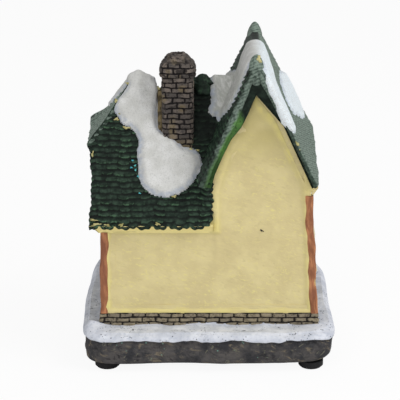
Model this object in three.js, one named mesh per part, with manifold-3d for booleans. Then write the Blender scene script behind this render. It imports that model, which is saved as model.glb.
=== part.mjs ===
// A Christmas village house: a small lit resin cottage on a snowy rock base.
// Millimetres, +Z up. The origin is on the ground under the middle of the base.
// +Y is the plain back, -Y the door side, and the main ridge runs along X.
import * as THREE from "three";
import { mergeVertices } from "three/addons/utils/BufferGeometryUtils.js";
import Module from "manifold-3d";

const wasm = await Module();
wasm.setup();

// Gap kept between neighbouring castings
const CLEARANCE = 0.3;

// Rubber feet
const FOOT_DIAMETER = 10;
const FOOT_HEIGHT = 3;
const FOOT_INSET_X = 8.5;
const FOOT_INSET_Y = 8;
const FOOT_ROUND = 0.8;

// Rock base, whose ledge shows round the house
const LEDGE_SIDE = 6.4;
const LEDGE_BACK = 11.4;
const LEDGE_FRONT = 19.4;
const BASE_HEIGHT = 12.6;
const BASE_CORNER = 12.5;
const BASE_LOWER_ROUND = 3.6;
const BASE_SWAY = 0.8;

// Snow on the base
const SNOW_LIP = 0.3;
const SNOW_RIM_DEPTH = 1.5;
const SNOW_WALL_DEPTH = 1.1;
const SNOW_DRIP_MEAN = 1.6;
const SNOW_DRIP_SWAY = 1.1;
const DRIFT_HEIGHT = 4.5;
const DRIFT_RADIUS = 10;
const DRIFT_INSET_X = 11.4;
const DRIFT_INSET_Y = 10.4;

// House body
const HOUSE_WIDTH = 86;
const HOUSE_DEPTH = 56;
const WALL_THICKNESS = 3.6;
const WALL_LEAN_EAST = 0.012;
const WALL_LEAN_WEST = 0.06;
const PANEL_RIM = 3.2;
const PANEL_DEPTH = 0.6;

// Brick plinth under the walls
const PLINTH_COURSES = 3;
const PLINTH_COURSE = 1.95;
const PLINTH_PROUD = 0.8;
const PLINTH_BRICK = 5.1;
const MORTAR = 0.4;
const MORTAR_DEPTH = 0.35;

// Main roof, with its half-hip at the +X end
const MAIN_RIDGE_Z = 111.5;
const MAIN_EAVE_Z = 59;
const EAVE_OVERHANG = 4.3;
const VERGE_OVERHANG = 4.7;
const ROOF_THICKNESS = 3.4;
const COURSE_PITCH = 2.4;
const COURSE_LAP = 0.55;
const HIP_EAVE_Z = 88;
const HIP_RUN = 16.8;
const MAIN_RIDGE_RADIUS = 2.1;
const MAIN_ROOF_START = 16.6;

// Cross gable, with its ridge along Y
const GABLE_INSET = 25;
const GABLE_RIDGE_Z = 122;
const GABLE_EAVE_Z = 75.5;
const GABLE_FRONT_LIFT = 7;
const GABLE_HALF_EAST = 22.3;
const GABLE_HALF_WEST = 24.4;
const GABLE_HALF_TOP = 2.6;
const GABLE_FLARE = 1.05;
const GABLE_OVERHANG = 3;
const VERGE_STEP = 1.6;
const VERGE_BAND = 2.2;
const GABLE_WALL_EAST = 17.8;
const GABLE_WALL_WEST = 22.3;
const GABLE_EAVE_EDGE = 1;
const GABLE_ROLL_RADIUS = 3;
const GABLE_ROLL_REACH = 1;
const NUB_RISE = 6.4;
const NUB_DROP = 6.5;
const NUB_LENGTH = 9;

// Cornices under the eaves
const CORNICE_DROP = 3.6;

// Corner posts
const POST_SIZE = 4;
const POST_PROUD = 0.9;
const POST_SWAY = 0.35;

// Chimney
const CHIMNEY_FROM_VERGE = 35.2;
const CHIMNEY_BEHIND_RIDGE = 9.2;
const CHIMNEY_WIDTH = 12.6;
const CHIMNEY_DEPTH = 12.4;
const CHIMNEY_RISE = 3.7;
const CAP_HEIGHT = 8.6;
const CHIMNEY_COURSE = 2.1;
const CHIMNEY_BRICK = 5.1;
const CAP_OVERHANG = 0.8;
const CAP_DRAW = 4;
const CAP_COURSES = 4;
const FLUE_DIAMETER = 4.4;
const FLUE_DEPTH = 4;

// Snow on the roofs
const ROOF_SNOW = 1.5;
const ROOF_SNOW_EDGE = 0.8;

// Door
const DOOR_WIDTH = 13;
const DOOR_HEIGHT = 25;
const DOOR_THICKNESS = 1.6;
const FRAME_WIDTH = 1.6;
const FRAME_PROUD = 0.9;
const STEP_WIDTH = 19;
const STEP_DEPTH = 7;
const STEP_RISE = 3.2;
const KNOB_DIAMETER = 1.6;
const WREATH_DIAMETER = 7;
const WREATH_BODY = 1.5;

// Windows
const FRONT_WINDOW_INSET = 23;
const MUNTIN = 0.9;
const PANE_THICKNESS = 1;
const SILL_PROUD = 1;
const SILL_HEIGHT = 1.2;

// Light insert in the base
const BOX_LENGTH = 38;
const BOX_WIDTH = 19;
const BOX_HEIGHT = 15;
const BOX_WALL = 1.2;
const FLANGE_MARGIN = 2.6;
const FLANGE_THICKNESS = 1.6;
const CELL_DIAMETER = 11.6;
const CELL_LENGTH = 5.4;
const CELL_COUNT = 3;
const CELL_PLAY = 0.3;
const SPRING_LENGTH = 3;
const SPRING_DIAMETER = 6;
const SPRING_WIRE = 0.6;
const SPRING_TURNS = 3;
const CONTACT_THICKNESS = 0.5;
const COVER_MARGIN = 1.2;
const GRIP_LENGTH = 6;
const GRIP_WIDTH = 1;
const GRIP_DEPTH = 0.4;
const COVER_GAP = 0.35;
const SCREW_HEAD = 2.8;
const SCREW_HEAD_DEPTH = 0.6;
const SCREW_SHANK = 1.5;
const SCREW_REACH = 2.4;
const SCREW_DRIVE = 0.5;
const LUG_LENGTH = 5;
const SWITCH_LENGTH = 8.6;
const SWITCH_WIDTH = 3.7;
const SWITCH_HEIGHT = 3.5;
const SWITCH_TRAVEL = 2;
const SWITCH_KNOB_LENGTH = 2.4;
const SWITCH_KNOB_WIDTH = 1.5;
const SWITCH_KNOB_PROUD = 1.2;
const LED_DIAMETER = 5;
const LED_HEIGHT = 8.6;
const LED_STAND_DIAMETER = 8;
const LED_STAND_HEIGHT = 14;
const WIRE_DIAMETER = 1.2;

// Levels and places that follow from the sizes above
const BASE_BOTTOM = FOOT_HEIGHT;
const BASE_TOP = BASE_BOTTOM + BASE_HEIGHT;
const PLINTH_TOP = BASE_TOP + PLINTH_COURSES * PLINTH_COURSE;
const HALF_DEPTH = HOUSE_DEPTH / 2;
const BASE_WIDTH = HOUSE_WIDTH + 2 * LEDGE_SIDE;
const BASE_DEPTH = HOUSE_DEPTH + LEDGE_BACK + LEDGE_FRONT;
const HOUSE_CENTRE_Y = (LEDGE_FRONT - LEDGE_BACK) / 2;
const BACK_Y = HOUSE_CENTRE_Y + HALF_DEPTH;
const FRONT_Y = HOUSE_CENTRE_Y - HALF_DEPTH;
const EAVE_RUN = HALF_DEPTH + EAVE_OVERHANG;
const VERGE_X = HOUSE_WIDTH / 2 + VERGE_OVERHANG;
const GABLE_X = GABLE_INSET - HOUSE_WIDTH / 2;
const MAIN_ROOF_START_X = GABLE_X + MAIN_ROOF_START;
const CHIMNEY_X = VERGE_X - CHIMNEY_FROM_VERGE;
const CHIMNEY_Y = HOUSE_CENTRE_Y + CHIMNEY_BEHIND_RIDGE;
const CHIMNEY_SHAFT_TOP = MAIN_RIDGE_Z + CHIMNEY_RISE;
const CHIMNEY_TOP = CHIMNEY_SHAFT_TOP + CAP_HEIGHT;
const GABLE_BACK_Y = BACK_Y + GABLE_OVERHANG;
const GABLE_FRONT_Y = FRONT_Y - GABLE_OVERHANG;
const SKY = 2 * MAIN_RIDGE_Z;

// Materials
const painted = (color, roughness = 0.7) =>
  new THREE.MeshStandardMaterial({ color, roughness, metalness: 0 });
const metal = (color, roughness = 0.35) =>
  new THREE.MeshStandardMaterial({ color, roughness, metalness: 1 });
const rockPaint = painted(0x4b4c50, 0.75);
const snowPaint = painted(0xdfe3ec, 0.85);
const wallPaint = painted(0xd8c987, 0.7);
const brickPaint = painted(0x7d7263, 0.8);
const postPaint = painted(0x7c4a33, 0.65);
const shinglePaint = painted(0x1f3d2c, 0.7);
const ridgePaint = painted(0x55665c, 0.7);
const doorPaint = painted(0x6b3a26, 0.55);
const framePaint = painted(0xe9e2cf, 0.6);
const panePlastic = painted(0xf2cf7a, 0.3);
const wreathPaint = painted(0x2b5a33, 0.75);
const blackRubber = painted(0x151515, 0.8);
const blackPlastic = painted(0x1d1d1f, 0.45);
const redWire = painted(0xb3201c, 0.4);
const blackWire = painted(0x181818, 0.4);
const lensPlastic = painted(0xf7efcf, 0.15);
const steel = metal(0xb9bcc0, 0.3);
const brass = metal(0xb8934a, 0.35);

const house = new THREE.Group();

// Turns a closed triangle geometry into a solid for joining and cutting.
function solidFrom(geometry) {
  const bare = geometry.clone();
  bare.deleteAttribute("normal");
  bare.deleteAttribute("uv");
  const merged = mergeVertices(bare, 1e-5);
  const triVerts = Uint32Array.from(merged.index.array);
  const mesh = new wasm.Mesh({
    numProp: 3,
    vertProperties: merged.attributes.position.array,
    triVerts,
  });
  return new wasm.Manifold(mesh);
}

// The triangles of a solid.
function geometryOf(solid) {
  const made = solid.getMesh();
  const geometry = new THREE.BufferGeometry();
  geometry.setAttribute("position", new THREE.BufferAttribute(made.vertProperties, made.numProp));
  geometry.setIndex(new THREE.BufferAttribute(made.triVerts, 1));
  return geometry;
}

// A solid moved to its place.
const placed = (solid, matrix) => solidFrom(geometryOf(solid).applyMatrix4(matrix));

// Adds a finished solid to the house as a named mesh.
function addPart(name, solid, material) {
  const geometry = geometryOf(solid);
  geometry.computeVertexNormals();
  const mesh = new THREE.Mesh(geometry, material);
  mesh.name = name;
  house.add(mesh);
}

// The biggest body of a solid, without the crumbs that a cut left behind.
function mainBody(solid) {
  return solid.decompose().sort((a, b) => b.volume() - a.volume())[0];
}

// A box from its lowest to its highest corner.
function block(x0, x1, y0, y1, z0, z1) {
  const geometry = new THREE.BoxGeometry(x1 - x0, y1 - y0, z1 - z0);
  geometry.translate((x0 + x1) / 2, (y0 + y1) / 2, (z0 + z1) / 2);
  return solidFrom(geometry);
}

// Directions of an outline's two coordinates and of its extrusion, for each axis.
const PRISM_BASES = {
  x: [new THREE.Vector3(0, 1, 0), new THREE.Vector3(0, 0, 1), new THREE.Vector3(1, 0, 0)],
  y: [new THREE.Vector3(1, 0, 0), new THREE.Vector3(0, 0, 1), new THREE.Vector3(0, -1, 0)],
  z: [new THREE.Vector3(1, 0, 0), new THREE.Vector3(0, 1, 0), new THREE.Vector3(0, 0, 1)],
};

// A straight prism: an outline drawn square to an axis, carried from low to high along it.
function prism(axis, outline, low, high) {
  const shape = new THREE.Shape(outline.map(([u, v]) => new THREE.Vector2(u, v)));
  const geometry = new THREE.ExtrudeGeometry(shape, { depth: high - low, bevelEnabled: false });
  geometry.applyMatrix4(new THREE.Matrix4().makeBasis(...PRISM_BASES[axis]));
  const start = axis === "y" ? high : low;
  geometry.translate(axis === "x" ? start : 0, axis === "y" ? start : 0, axis === "z" ? start : 0);
  return solidFrom(geometry);
}

// A ring's points in the plane that it nearly lies in.
function flattened(ring) {
  const spans = ["x", "y", "z"].map((axis) => {
    const values = ring.map((point) => point[axis]);
    return { axis, span: Math.max(...values) - Math.min(...values) };
  });
  const [, second, first] = spans.sort((a, b) => a.span - b.span);
  return ring.map((point) => new THREE.Vector2(point[first.axis], point[second.axis]));
}

// Triangles that close a ring, in the ring's own direction: a fan round its middle where every
// point sees the middle, and otherwise ears cut from its outline.
function capTriangles(ring, middleIndex) {
  const flat = flattened(ring);
  const middle = flat.reduce((sum, point) => sum.add(point), new THREE.Vector2())
    .divideScalar(flat.length);
  const area = THREE.ShapeUtils.area(flat);
  const next = (i) => (i + 1) % flat.length;
  const seesMiddle = flat.every((point, i) => {
    const corner = [middle, point, flat[next(i)]];
    return THREE.ShapeUtils.area(corner) * area > 0;
  });
  if (seesMiddle) return flat.map((_, i) => [middleIndex, i, next(i)]);
  const order = flat.map((_, i) => i);
  if (area < 0) order.reverse();
  const faces = THREE.ShapeUtils.triangulateShape(order.map((i) => flat[i]), []);
  return faces.map((face) => {
    const corners = face.map((i) => order[i]);
    return area > 0 ? corners : corners.reverse();
  });
}

// A solid skinned over rings that all have the same number of points.
function loft(rings) {
  const count = rings[0].length;
  const triangles = [];
  for (let level = 0; level + 1 < rings.length; level++) {
    for (let i = 0; i < count; i++) {
      const a = level * count + i;
      const b = level * count + ((i + 1) % count);
      triangles.push([a, b, b + count], [a, b + count, a + count]);
    }
  }
  const lastStart = (rings.length - 1) * count;
  const lowMiddle = rings.length * count;
  triangles.push(...capTriangles(rings[0], lowMiddle).map(([a, b, c]) => [c, b, a]));
  triangles.push(...capTriangles(rings.at(-1), lowMiddle + 1 - lastStart)
    .map((face) => face.map((i) => i + lastStart)));
  const middles = [rings[0], rings.at(-1)].map((ring) => ring
    .reduce((sum, point) => sum.add(point), new THREE.Vector3()).divideScalar(count));
  const points = [...rings.flat(), ...middles].flatMap((point) => [point.x, point.y, point.z]);
  const build = (faces) => {
    const geometry = new THREE.BufferGeometry();
    geometry.setAttribute("position", new THREE.Float32BufferAttribute(points, 3));
    geometry.setIndex(faces.flat());
    return solidFrom(geometry);
  };
  const made = build(triangles);
  return made.volume() > 0 ? made : build(triangles.map(([a, b, c]) => [c, b, a]));
}

// Points round a rectangle with round corners, evenly spaced by angle on each stretch.
function roundedLoop(width, depth, wantedCorner, cornerSteps = 6, sideSteps = 4) {
  const points = [];
  const corner = Math.min(wantedCorner, 0.49 * width, 0.49 * depth);
  const halfX = width / 2 - corner;
  const halfY = depth / 2 - corner;
  const centres = [[halfX, halfY], [-halfX, halfY], [-halfX, -halfY], [halfX, -halfY]];
  centres.forEach(([cx, cy], quarter) => {
    for (let step = 0; step <= cornerSteps; step++) {
      const angle = (quarter + step / cornerSteps) * (Math.PI / 2);
      points.push(new THREE.Vector2(cx + corner * Math.cos(angle), cy + corner * Math.sin(angle)));
    }
    const from = points.at(-1);
    const [nx, ny] = centres[(quarter + 1) % 4];
    const angle = (quarter + 1) * (Math.PI / 2);
    const to = new THREE.Vector2(nx + corner * Math.cos(angle), ny + corner * Math.sin(angle));
    for (let step = 1; step < sideSteps; step++) {
      points.push(from.clone().lerp(to, step / sideSteps));
    }
  });
  return points;
}

// A hand-cast edge: drawn in a little between the four sides' middles, which keep the full size.
function handCast(points, sway) {
  return points.map((point) => {
    const angle = Math.atan2(point.y, point.x);
    const draw = sway * (0.55 + 0.45 * Math.sin(angle * 3 + 1)) * (1 - Math.cos(angle * 8)) * 0.5;
    return point.clone().multiplyScalar(1 - draw / point.length());
  });
}

// Points of the unit circle.
function circlePoints(count) {
  return Array.from({ length: count }, (_, i) => {
    const angle = (i / count) * 2 * Math.PI;
    return [Math.cos(angle), Math.sin(angle)];
  });
}

const atHeight = (points, z) => points.map((point) => new THREE.Vector3(point.x, point.y, z));

// The base's outline, grown or drawn in by an amount.
function baseOutline(grow) {
  const corner = Math.max(BASE_CORNER + grow, 1);
  const loop = roundedLoop(BASE_WIDTH + 2 * grow, BASE_DEPTH + 2 * grow, corner);
  return handCast(loop, BASE_SWAY);
}

// The rock base as a solid without its well, grown sideways by an amount.
function baseBlock(grow) {
  const rings = [];
  const steps = 4;
  for (let step = 0; step <= steps; step++) {
    const angle = (step / steps) * (Math.PI / 2);
    const inset = BASE_LOWER_ROUND * (1 - Math.sin(angle));
    const z = BASE_BOTTOM + BASE_LOWER_ROUND * (1 - Math.cos(angle));
    rings.push(atHeight(baseOutline(grow - inset), z));
  }
  rings.push(atHeight(baseOutline(grow), BASE_TOP));
  return loft(rings);
}

// A box centred on the light insert, from its length and width and its two levels.
function insertBlock(length, width, z0, z1, centreX = 0, centreY = 0) {
  const y = HOUSE_CENTRE_Y + centreY;
  return block(centreX - length / 2, centreX + length / 2, y - width / 2, y + width / 2, z0, z1);
}

const FLANGE_LENGTH = BOX_LENGTH + 2 * FLANGE_MARGIN;
const FLANGE_WIDTH = BOX_WIDTH + 2 * FLANGE_MARGIN;
const FLANGE_TOP = BASE_BOTTOM + FLANGE_THICKNESS;

function addBase() {
  const well = insertBlock(
    BOX_LENGTH + 2 * CLEARANCE, BOX_WIDTH + 2 * CLEARANCE, BASE_BOTTOM - 1, BASE_TOP + 1,
  );
  const rebate = insertBlock(
    FLANGE_LENGTH + 2 * CLEARANCE, FLANGE_WIDTH + 2 * CLEARANCE,
    BASE_BOTTOM - 1, FLANGE_TOP + CLEARANCE,
  );
  addPart("base_slab", baseBlock(0).subtract(well).subtract(rebate), rockPaint);
}

function footCentres() {
  const x = BASE_WIDTH / 2 - FOOT_INSET_X;
  const y = BASE_DEPTH / 2 - FOOT_INSET_Y;
  return { back_east: [x, y], back_west: [-x, y], front_west: [-x, -y], front_east: [x, -y] };
}

function addFeet() {
  const radius = FOOT_DIAMETER / 2;
  const profile = [
    new THREE.Vector2(0, 0),
    new THREE.Vector2(radius - FOOT_ROUND, 0),
    new THREE.Vector2(radius, FOOT_ROUND),
    new THREE.Vector2(radius, FOOT_HEIGHT),
    new THREE.Vector2(0, FOOT_HEIGHT),
  ];
  for (const [corner, [x, y]] of Object.entries(footCentres())) {
    const geometry = new THREE.LatheGeometry(profile, 20);
    geometry.rotateX(Math.PI / 2);
    geometry.translate(x, y, 0);
    addPart(`rubber_foot_${corner}`, solidFrom(geometry), blackRubber);
  }
}

// The plinth's outer faces.
const PLINTH_HALF_X = HOUSE_WIDTH / 2 + PLINTH_PROUD;
const PLINTH_HALF_Y = HALF_DEPTH + PLINTH_PROUD;

// Snow on the base: a lip and drips over the rim, a rise to the walls, and one drift in front.
function addGroundSnow() {
  const skirt = baseOutline(CLEARANCE + SNOW_LIP);
  const dripping = skirt.map((point) => {
    const angle = Math.atan2(point.y, point.x);
    const wave = Math.sin(angle * 9 + 0.6) * 0.6 + Math.sin(angle * 17 + 2) * 0.4;
    return new THREE.Vector3(point.x, point.y, BASE_TOP - SNOW_DRIP_MEAN - SNOW_DRIP_SWAY * wave);
  });
  const rimTop = BASE_TOP + SNOW_RIM_DEPTH;
  const wallTop = BASE_TOP + SNOW_WALL_DEPTH;
  const wallLoop = atHeight(baseOutline(0), wallTop).map((point) => {
    const reach = 0.2 + Math.max(Math.abs(point.x) / PLINTH_HALF_X, Math.abs(point.y) / PLINTH_HALF_Y);
    return point.multiply(new THREE.Vector3(1 / reach, 1 / reach, 1));
  });
  const sheet = loft([
    dripping,
    atHeight(skirt, rimTop - SNOW_RIM_DEPTH / 2),
    atHeight(baseOutline(-SNOW_RIM_DEPTH / 2), rimTop),
    wallLoop,
  ]);
  const drift = new THREE.SphereGeometry(DRIFT_RADIUS, 20, 10);
  drift.scale(1, 0.9, (DRIFT_HEIGHT + SNOW_RIM_DEPTH) / DRIFT_RADIUS);
  drift.translate(DRIFT_INSET_X - BASE_WIDTH / 2, DRIFT_INSET_Y - BASE_DEPTH / 2, BASE_TOP);
  const gap = CLEARANCE;
  const plinthHole = block(
    -PLINTH_HALF_X - gap, PLINTH_HALF_X + gap,
    HOUSE_CENTRE_Y - PLINTH_HALF_Y - gap, HOUSE_CENTRE_Y + PLINTH_HALF_Y + gap,
    0, SKY,
  );
  const snow = sheet
    .add(solidFrom(drift))
    .subtract(baseBlock(CLEARANCE))
    .subtract(block(-BASE_WIDTH, BASE_WIDTH, -BASE_DEPTH, BASE_DEPTH, 0, BASE_BOTTOM + BASE_LOWER_ROUND))
    .subtract(plinthHole)
    .subtract(stepBlock(CLEARANCE));
  addPart("ground_snow", snow, snowPaint);
}

// Bricks laid round a rectangle, proud of the mortar, in courses that break joint.
function brickwork({ width, depth, bottom, courses, course, brick }) {
  const inset = MORTAR_DEPTH;
  const top = bottom + courses * course;
  const pieces = [
    block(-width / 2 + inset, width / 2 - inset, -depth / 2 + inset, depth / 2 - inset, bottom, top),
  ];
  const keyed = 1;
  for (let row = 0; row < courses; row++) {
    const low = bottom + row * course + (row === 0 ? 0 : MORTAR / 2);
    const high = bottom + (row + 1) * course - (row === courses - 1 ? 0 : MORTAR / 2);
    for (const along of ["x", "y"]) {
      const length = along === "x" ? width : depth;
      const face = (along === "x" ? depth : width) / 2;
      const count = Math.max(2, Math.round(length / brick));
      const size = length / count;
      const shift = row % 2 === 0 ? 0 : size / 2;
      for (let i = 0; i <= count; i++) {
        const start = Math.max(0, i * size - shift + MORTAR / 2);
        const end = Math.min(length, (i + 1) * size - shift - MORTAR / 2);
        if (end - start < MORTAR) continue;
        const from = (i * size - shift <= 0 ? 0 : start) - length / 2;
        const to = ((i + 1) * size - shift >= length ? length : end) - length / 2;
        for (const [near, far] of [[-face, -face + keyed], [face - keyed, face]]) {
          pieces.push(along === "x"
            ? block(from, to, near, far, low, high)
            : block(near, far, from, to, low, high));
        }
      }
    }
  }
  return wasm.Manifold.union(pieces);
}

// The hollow inside the walls, drawn in by the wall's thickness.
function interior(z0, z1) {
  const ring = (z) => {
    const halfY = HALF_DEPTH - WALL_THICKNESS;
    return [[1, 1], [-1, 1], [-1, -1], [1, -1]].map(([sx, sy]) => {
      const x = sx * (wallReach(sx, z) - WALL_THICKNESS);
      return new THREE.Vector3(x, HOUSE_CENTRE_Y + sy * halfY, z);
    });
  };
  return loft([ring(z0), ring(z1)]);
}

// How far a side wall stands from the middle: both lean in as they rise, the -X one more.
function wallReach(side, z) {
  const lean = side > 0 ? WALL_LEAN_EAST : WALL_LEAN_WEST;
  return HOUSE_WIDTH / 2 - lean * (z - PLINTH_TOP);
}

function wallFootprint(grow) {
  const ring = (z) => {
    const halfY = HALF_DEPTH + grow;
    return [[1, 1], [-1, 1], [-1, -1], [1, -1]].map(([sx, sy]) => {
      const x = sx * (wallReach(sx, z) + grow);
      return new THREE.Vector3(x, HOUSE_CENTRE_Y + sy * halfY, z);
    });
  };
  return loft([ring(PLINTH_TOP), ring(SKY)]);
}

function addPlinth() {
  const ring = brickwork({
    width: 2 * PLINTH_HALF_X,
    depth: 2 * PLINTH_HALF_Y,
    bottom: BASE_TOP,
    courses: PLINTH_COURSES,
    course: PLINTH_COURSE,
    brick: PLINTH_BRICK,
  });
  const centred = placed(ring, new THREE.Matrix4().makeTranslation(0, HOUSE_CENTRE_Y, 0));
  const hollow = interior(BASE_TOP - 1, PLINTH_TOP + 1);
  addPart("brick_plinth", centred.subtract(hollow), brickPaint);
}

// A slope from its top to its eave as lapped courses: each course thickens towards its lower edge.
// The points run down the slope; the offset is square to it, and zero lap gives a smooth slope.
function slopePoints(top, foot, offset, lap, curve = 1) {
  const at = (t) => new THREE.Vector2(
    top.x + (foot.x - top.x) * t ** curve,
    top.y + (foot.y - top.y) * t,
  );
  const along = foot.clone().sub(top);
  const side = Math.sign(along.x) || 1;
  const out = new THREE.Vector2(-along.y * side, along.x * side).normalize();
  if (lap === 0) {
    const smooth = curve === 1 ? [0, 1] : [0, 0.25, 0.6, 1];
    return smooth.map((t) => at(t).addScaledVector(out, offset));
  }
  const courses = Math.max(3, Math.round(along.length() / COURSE_PITCH));
  const points = [];
  for (let row = 0; row < courses; row++) {
    points.push(at(row / courses).addScaledVector(out, offset - lap));
    points.push(at((row + 1) / courses).addScaledVector(out, offset));
  }
  return points;
}

// The main roof's volume above its eaves: both slopes and the half-hip, moved out or in by an
// offset. An open volume runs on past the verge.
function mainRoofVolume(offset, lap = 0, open = false) {
  const top = new THREE.Vector2(0, MAIN_RIDGE_Z);
  const foot = new THREE.Vector2(EAVE_RUN, MAIN_EAVE_Z);
  const down = slopePoints(top, foot, offset, lap);
  const slope = new THREE.Vector2(EAVE_RUN, MAIN_RIDGE_Z - MAIN_EAVE_Z);
  const ridgeZ = MAIN_RIDGE_Z + ((offset - lap) * slope.length()) / slope.x;
  const half = down.slice(1);
  half.push(new THREE.Vector2(down.at(-1).x, PLINTH_TOP));
  const back = half.map((point) => [HOUSE_CENTRE_Y + point.x, point.y]);
  const front = half.map((point) => [HOUSE_CENTRE_Y - point.x, point.y]).reverse();
  const body = prism("x", [[HOUSE_CENTRE_Y, ridgeZ], ...back, ...front], GABLE_X, VERGE_X + HIP_RUN);
  const aboveEaves = block(-SKY, SKY, -SKY, SKY, MAIN_EAVE_Z, SKY);
  return body.intersect(hipVolume(offset, lap, open)).intersect(aboveEaves);
}

// Everything under the half-hip at the +X end.
function hipVolume(offset, lap, open) {
  const top = new THREE.Vector2(VERGE_X - HIP_RUN, MAIN_RIDGE_Z);
  const foot = new THREE.Vector2(VERGE_X, HIP_EAVE_Z);
  const down = slopePoints(top, foot, offset, lap);
  const run = new THREE.Vector2(HIP_RUN, MAIN_RIDGE_Z - HIP_EAVE_Z);
  const rise = run.y / run.x;
  const first = down[0];
  const last = down.at(-1);
  const beyond = open ? VERGE_X + HIP_RUN : VERGE_X + offset;
  const edge = open ? last.y - rise * (beyond - last.x) : last.y - lap;
  const outline = [
    [-SKY, first.y + rise * (first.x + SKY)],
    ...down.map((point) => [point.x, point.y]),
    [beyond, edge],
    [beyond, 0],
    [-SKY, 0],
  ];
  return prism("y", outline, -SKY, SKY);
}

// How far a level of the cross gable is raised at a station along its ridge.
function gableLift(y, z) {
  const forward = (GABLE_BACK_Y - y) / (GABLE_BACK_Y - GABLE_FRONT_Y);
  const down = (GABLE_RIDGE_Z - z) / (GABLE_RIDGE_Z - GABLE_EAVE_Z);
  return GABLE_FRONT_LIFT * forward * Math.min(Math.max(down, 0), 1);
}

// The cross gable's roof volume: a loft between its back and its front section.
function gableVolume(offset, lap = 0, grow = 0) {
  const section = (y) => {
    const half = (reach, side) => slopePoints(
      new THREE.Vector2(side * GABLE_HALF_TOP, GABLE_RIDGE_Z),
      new THREE.Vector2(side * reach, GABLE_EAVE_Z),
      offset, lap, GABLE_FLARE,
    );
    const east = half(GABLE_HALF_EAST, 1);
    const west = half(GABLE_HALF_WEST, -1);
    const low = GABLE_EAVE_Z - (offset > 0 ? offset : 0);
    const ring = [
      new THREE.Vector2(0, GABLE_RIDGE_Z + GABLE_HALF_TOP + offset),
      ...east,
      new THREE.Vector2(east.at(-1).x, low - GABLE_EAVE_EDGE),
      new THREE.Vector2(west.at(-1).x, low - GABLE_EAVE_EDGE),
      ...west.reverse(),
    ];
    return ring.map((point) => {
      const z = point.y + gableLift(y, point.y);
      return new THREE.Vector3(GABLE_X + point.x, y, z);
    });
  };
  return loft([section(GABLE_FRONT_Y - grow), section(GABLE_BACK_Y + grow)]);
}

// The yellow gable's outline under its roof, seen from behind: pairs of half-width and height.
const GABLE_WALL_WEST_SHOULDER = [10.8, 99.2];
const GABLE_WALL_EAST_SHOULDER = [13.3, 86];
const GABLE_WALL_TIP_Z = 111.6;
const GABLE_WALL_TIP_HALF = 1.6;
const GABLE_WALL_EAVE_Z = GABLE_EAVE_Z - GABLE_EAVE_EDGE - CLEARANCE;

function gableWallVolume(grow, y0, y1) {
  const section = (y) => {
    const [westX, westZ] = GABLE_WALL_WEST_SHOULDER;
    const [eastX, eastZ] = GABLE_WALL_EAST_SHOULDER;
    const west = HOUSE_WIDTH / 2 + GABLE_X;
    const outline = [
      [GABLE_WALL_TIP_HALF * 0.4 + grow, GABLE_WALL_TIP_Z + grow],
      [eastX + grow, eastZ + grow * 0.5],
      [GABLE_WALL_EAST + grow, GABLE_WALL_EAVE_Z],
      [GABLE_WALL_EAST + grow, PLINTH_TOP],
      [-west - grow, PLINTH_TOP],
      [-west - grow, GABLE_WALL_EAVE_Z],
      [-GABLE_WALL_WEST - grow, GABLE_WALL_EAVE_Z + grow],
      [-westX - grow, westZ + grow * 0.5],
      [-GABLE_WALL_TIP_HALF - grow, GABLE_WALL_TIP_Z - 1 + grow],
    ];
    return outline.map(([x, z]) => {
      const lifted = z > PLINTH_TOP ? z + gableLift(y, z) : z;
      return new THREE.Vector3(GABLE_X + x, y, lifted);
    });
  };
  return loft([section(y0), section(y1)]);
}

// The space under the main roof: its slopes drawn in by the slab, between the two long walls.
function mainRoofSpace(offset, grow) {
  const between = block(
    -SKY, SKY,
    HOUSE_CENTRE_Y - HALF_DEPTH - grow, HOUSE_CENTRE_Y + HALF_DEPTH + grow,
    0, SKY,
  );
  const under = mainRoofVolume(offset, 0, true);
  const below = block(GABLE_X, VERGE_X + HIP_RUN, -SKY, SKY, PLINTH_TOP, MAIN_EAVE_Z);
  return under.add(below).intersect(between);
}

// A corner post: a hand-carved square timber that sways a little as it rises.
function post(cornerX, cornerY, top, grow) {
  const rings = [];
  const levels = 9;
  const sx = Math.sign(cornerX);
  const sy = Math.sign(cornerY - HOUSE_CENTRE_Y);
  const half = POST_SIZE / 2 + grow;
  for (let level = 0; level <= levels; level++) {
    const raised = PLINTH_TOP + ((top - PLINTH_TOP) * level) / levels;
    const z = raised + (level === levels ? grow : 0);
    const sway = POST_SWAY * Math.sin(level * 1.6 + sx + sy * 2);
    const x = sx * (wallReach(sx, z) + POST_PROUD - POST_SIZE / 2) + sway * 0.6;
    const y = cornerY + sy * (POST_PROUD * 0.6 - POST_SIZE / 2) + sway * 0.4;
    const wide = half + sway * 0.5;
    const loop = roundedLoop(2 * wide, 2 * half, 1, 2, 1);
    rings.push(loop.map((point) => new THREE.Vector3(x + point.x, y + point.y, z)));
  }
  return loft(rings);
}

function postTops() {
  const low = MAIN_EAVE_Z - CORNICE_DROP - CLEARANCE;
  const underGable = (y) => (
    GABLE_WALL_EAVE_Z + gableLift(y, GABLE_WALL_EAVE_Z) - CORNICE_DROP - 2 * CLEARANCE
  );
  return {
    back_east: [1, BACK_Y, low],
    back_west: [-1, BACK_Y, underGable(BACK_Y)],
    front_west: [-1, FRONT_Y, underGable(FRONT_Y + POST_SIZE)],
    front_east: [1, FRONT_Y, low],
  };
}

// Where a window or the door goes: the wall it faces out of, its middle along the wall and its size.
const WINDOWS = {
  front_window: {
    wall: "front", middle: HOUSE_WIDTH / 2 - FRONT_WINDOW_INSET, sill: 33, width: 19, height: 15,
  },
  gable_window: { wall: "front", middle: GABLE_X, sill: 66, width: 10, height: 15 },
  east_window: { wall: "east", middle: HOUSE_CENTRE_Y, sill: 33, width: 15, height: 15 },
  loft_window: { wall: "east", middle: HOUSE_CENTRE_Y, sill: 64, width: 9, height: 11 },
  west_window: { wall: "west", middle: HOUSE_CENTRE_Y, sill: 33, width: 15, height: 15 },
};

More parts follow.
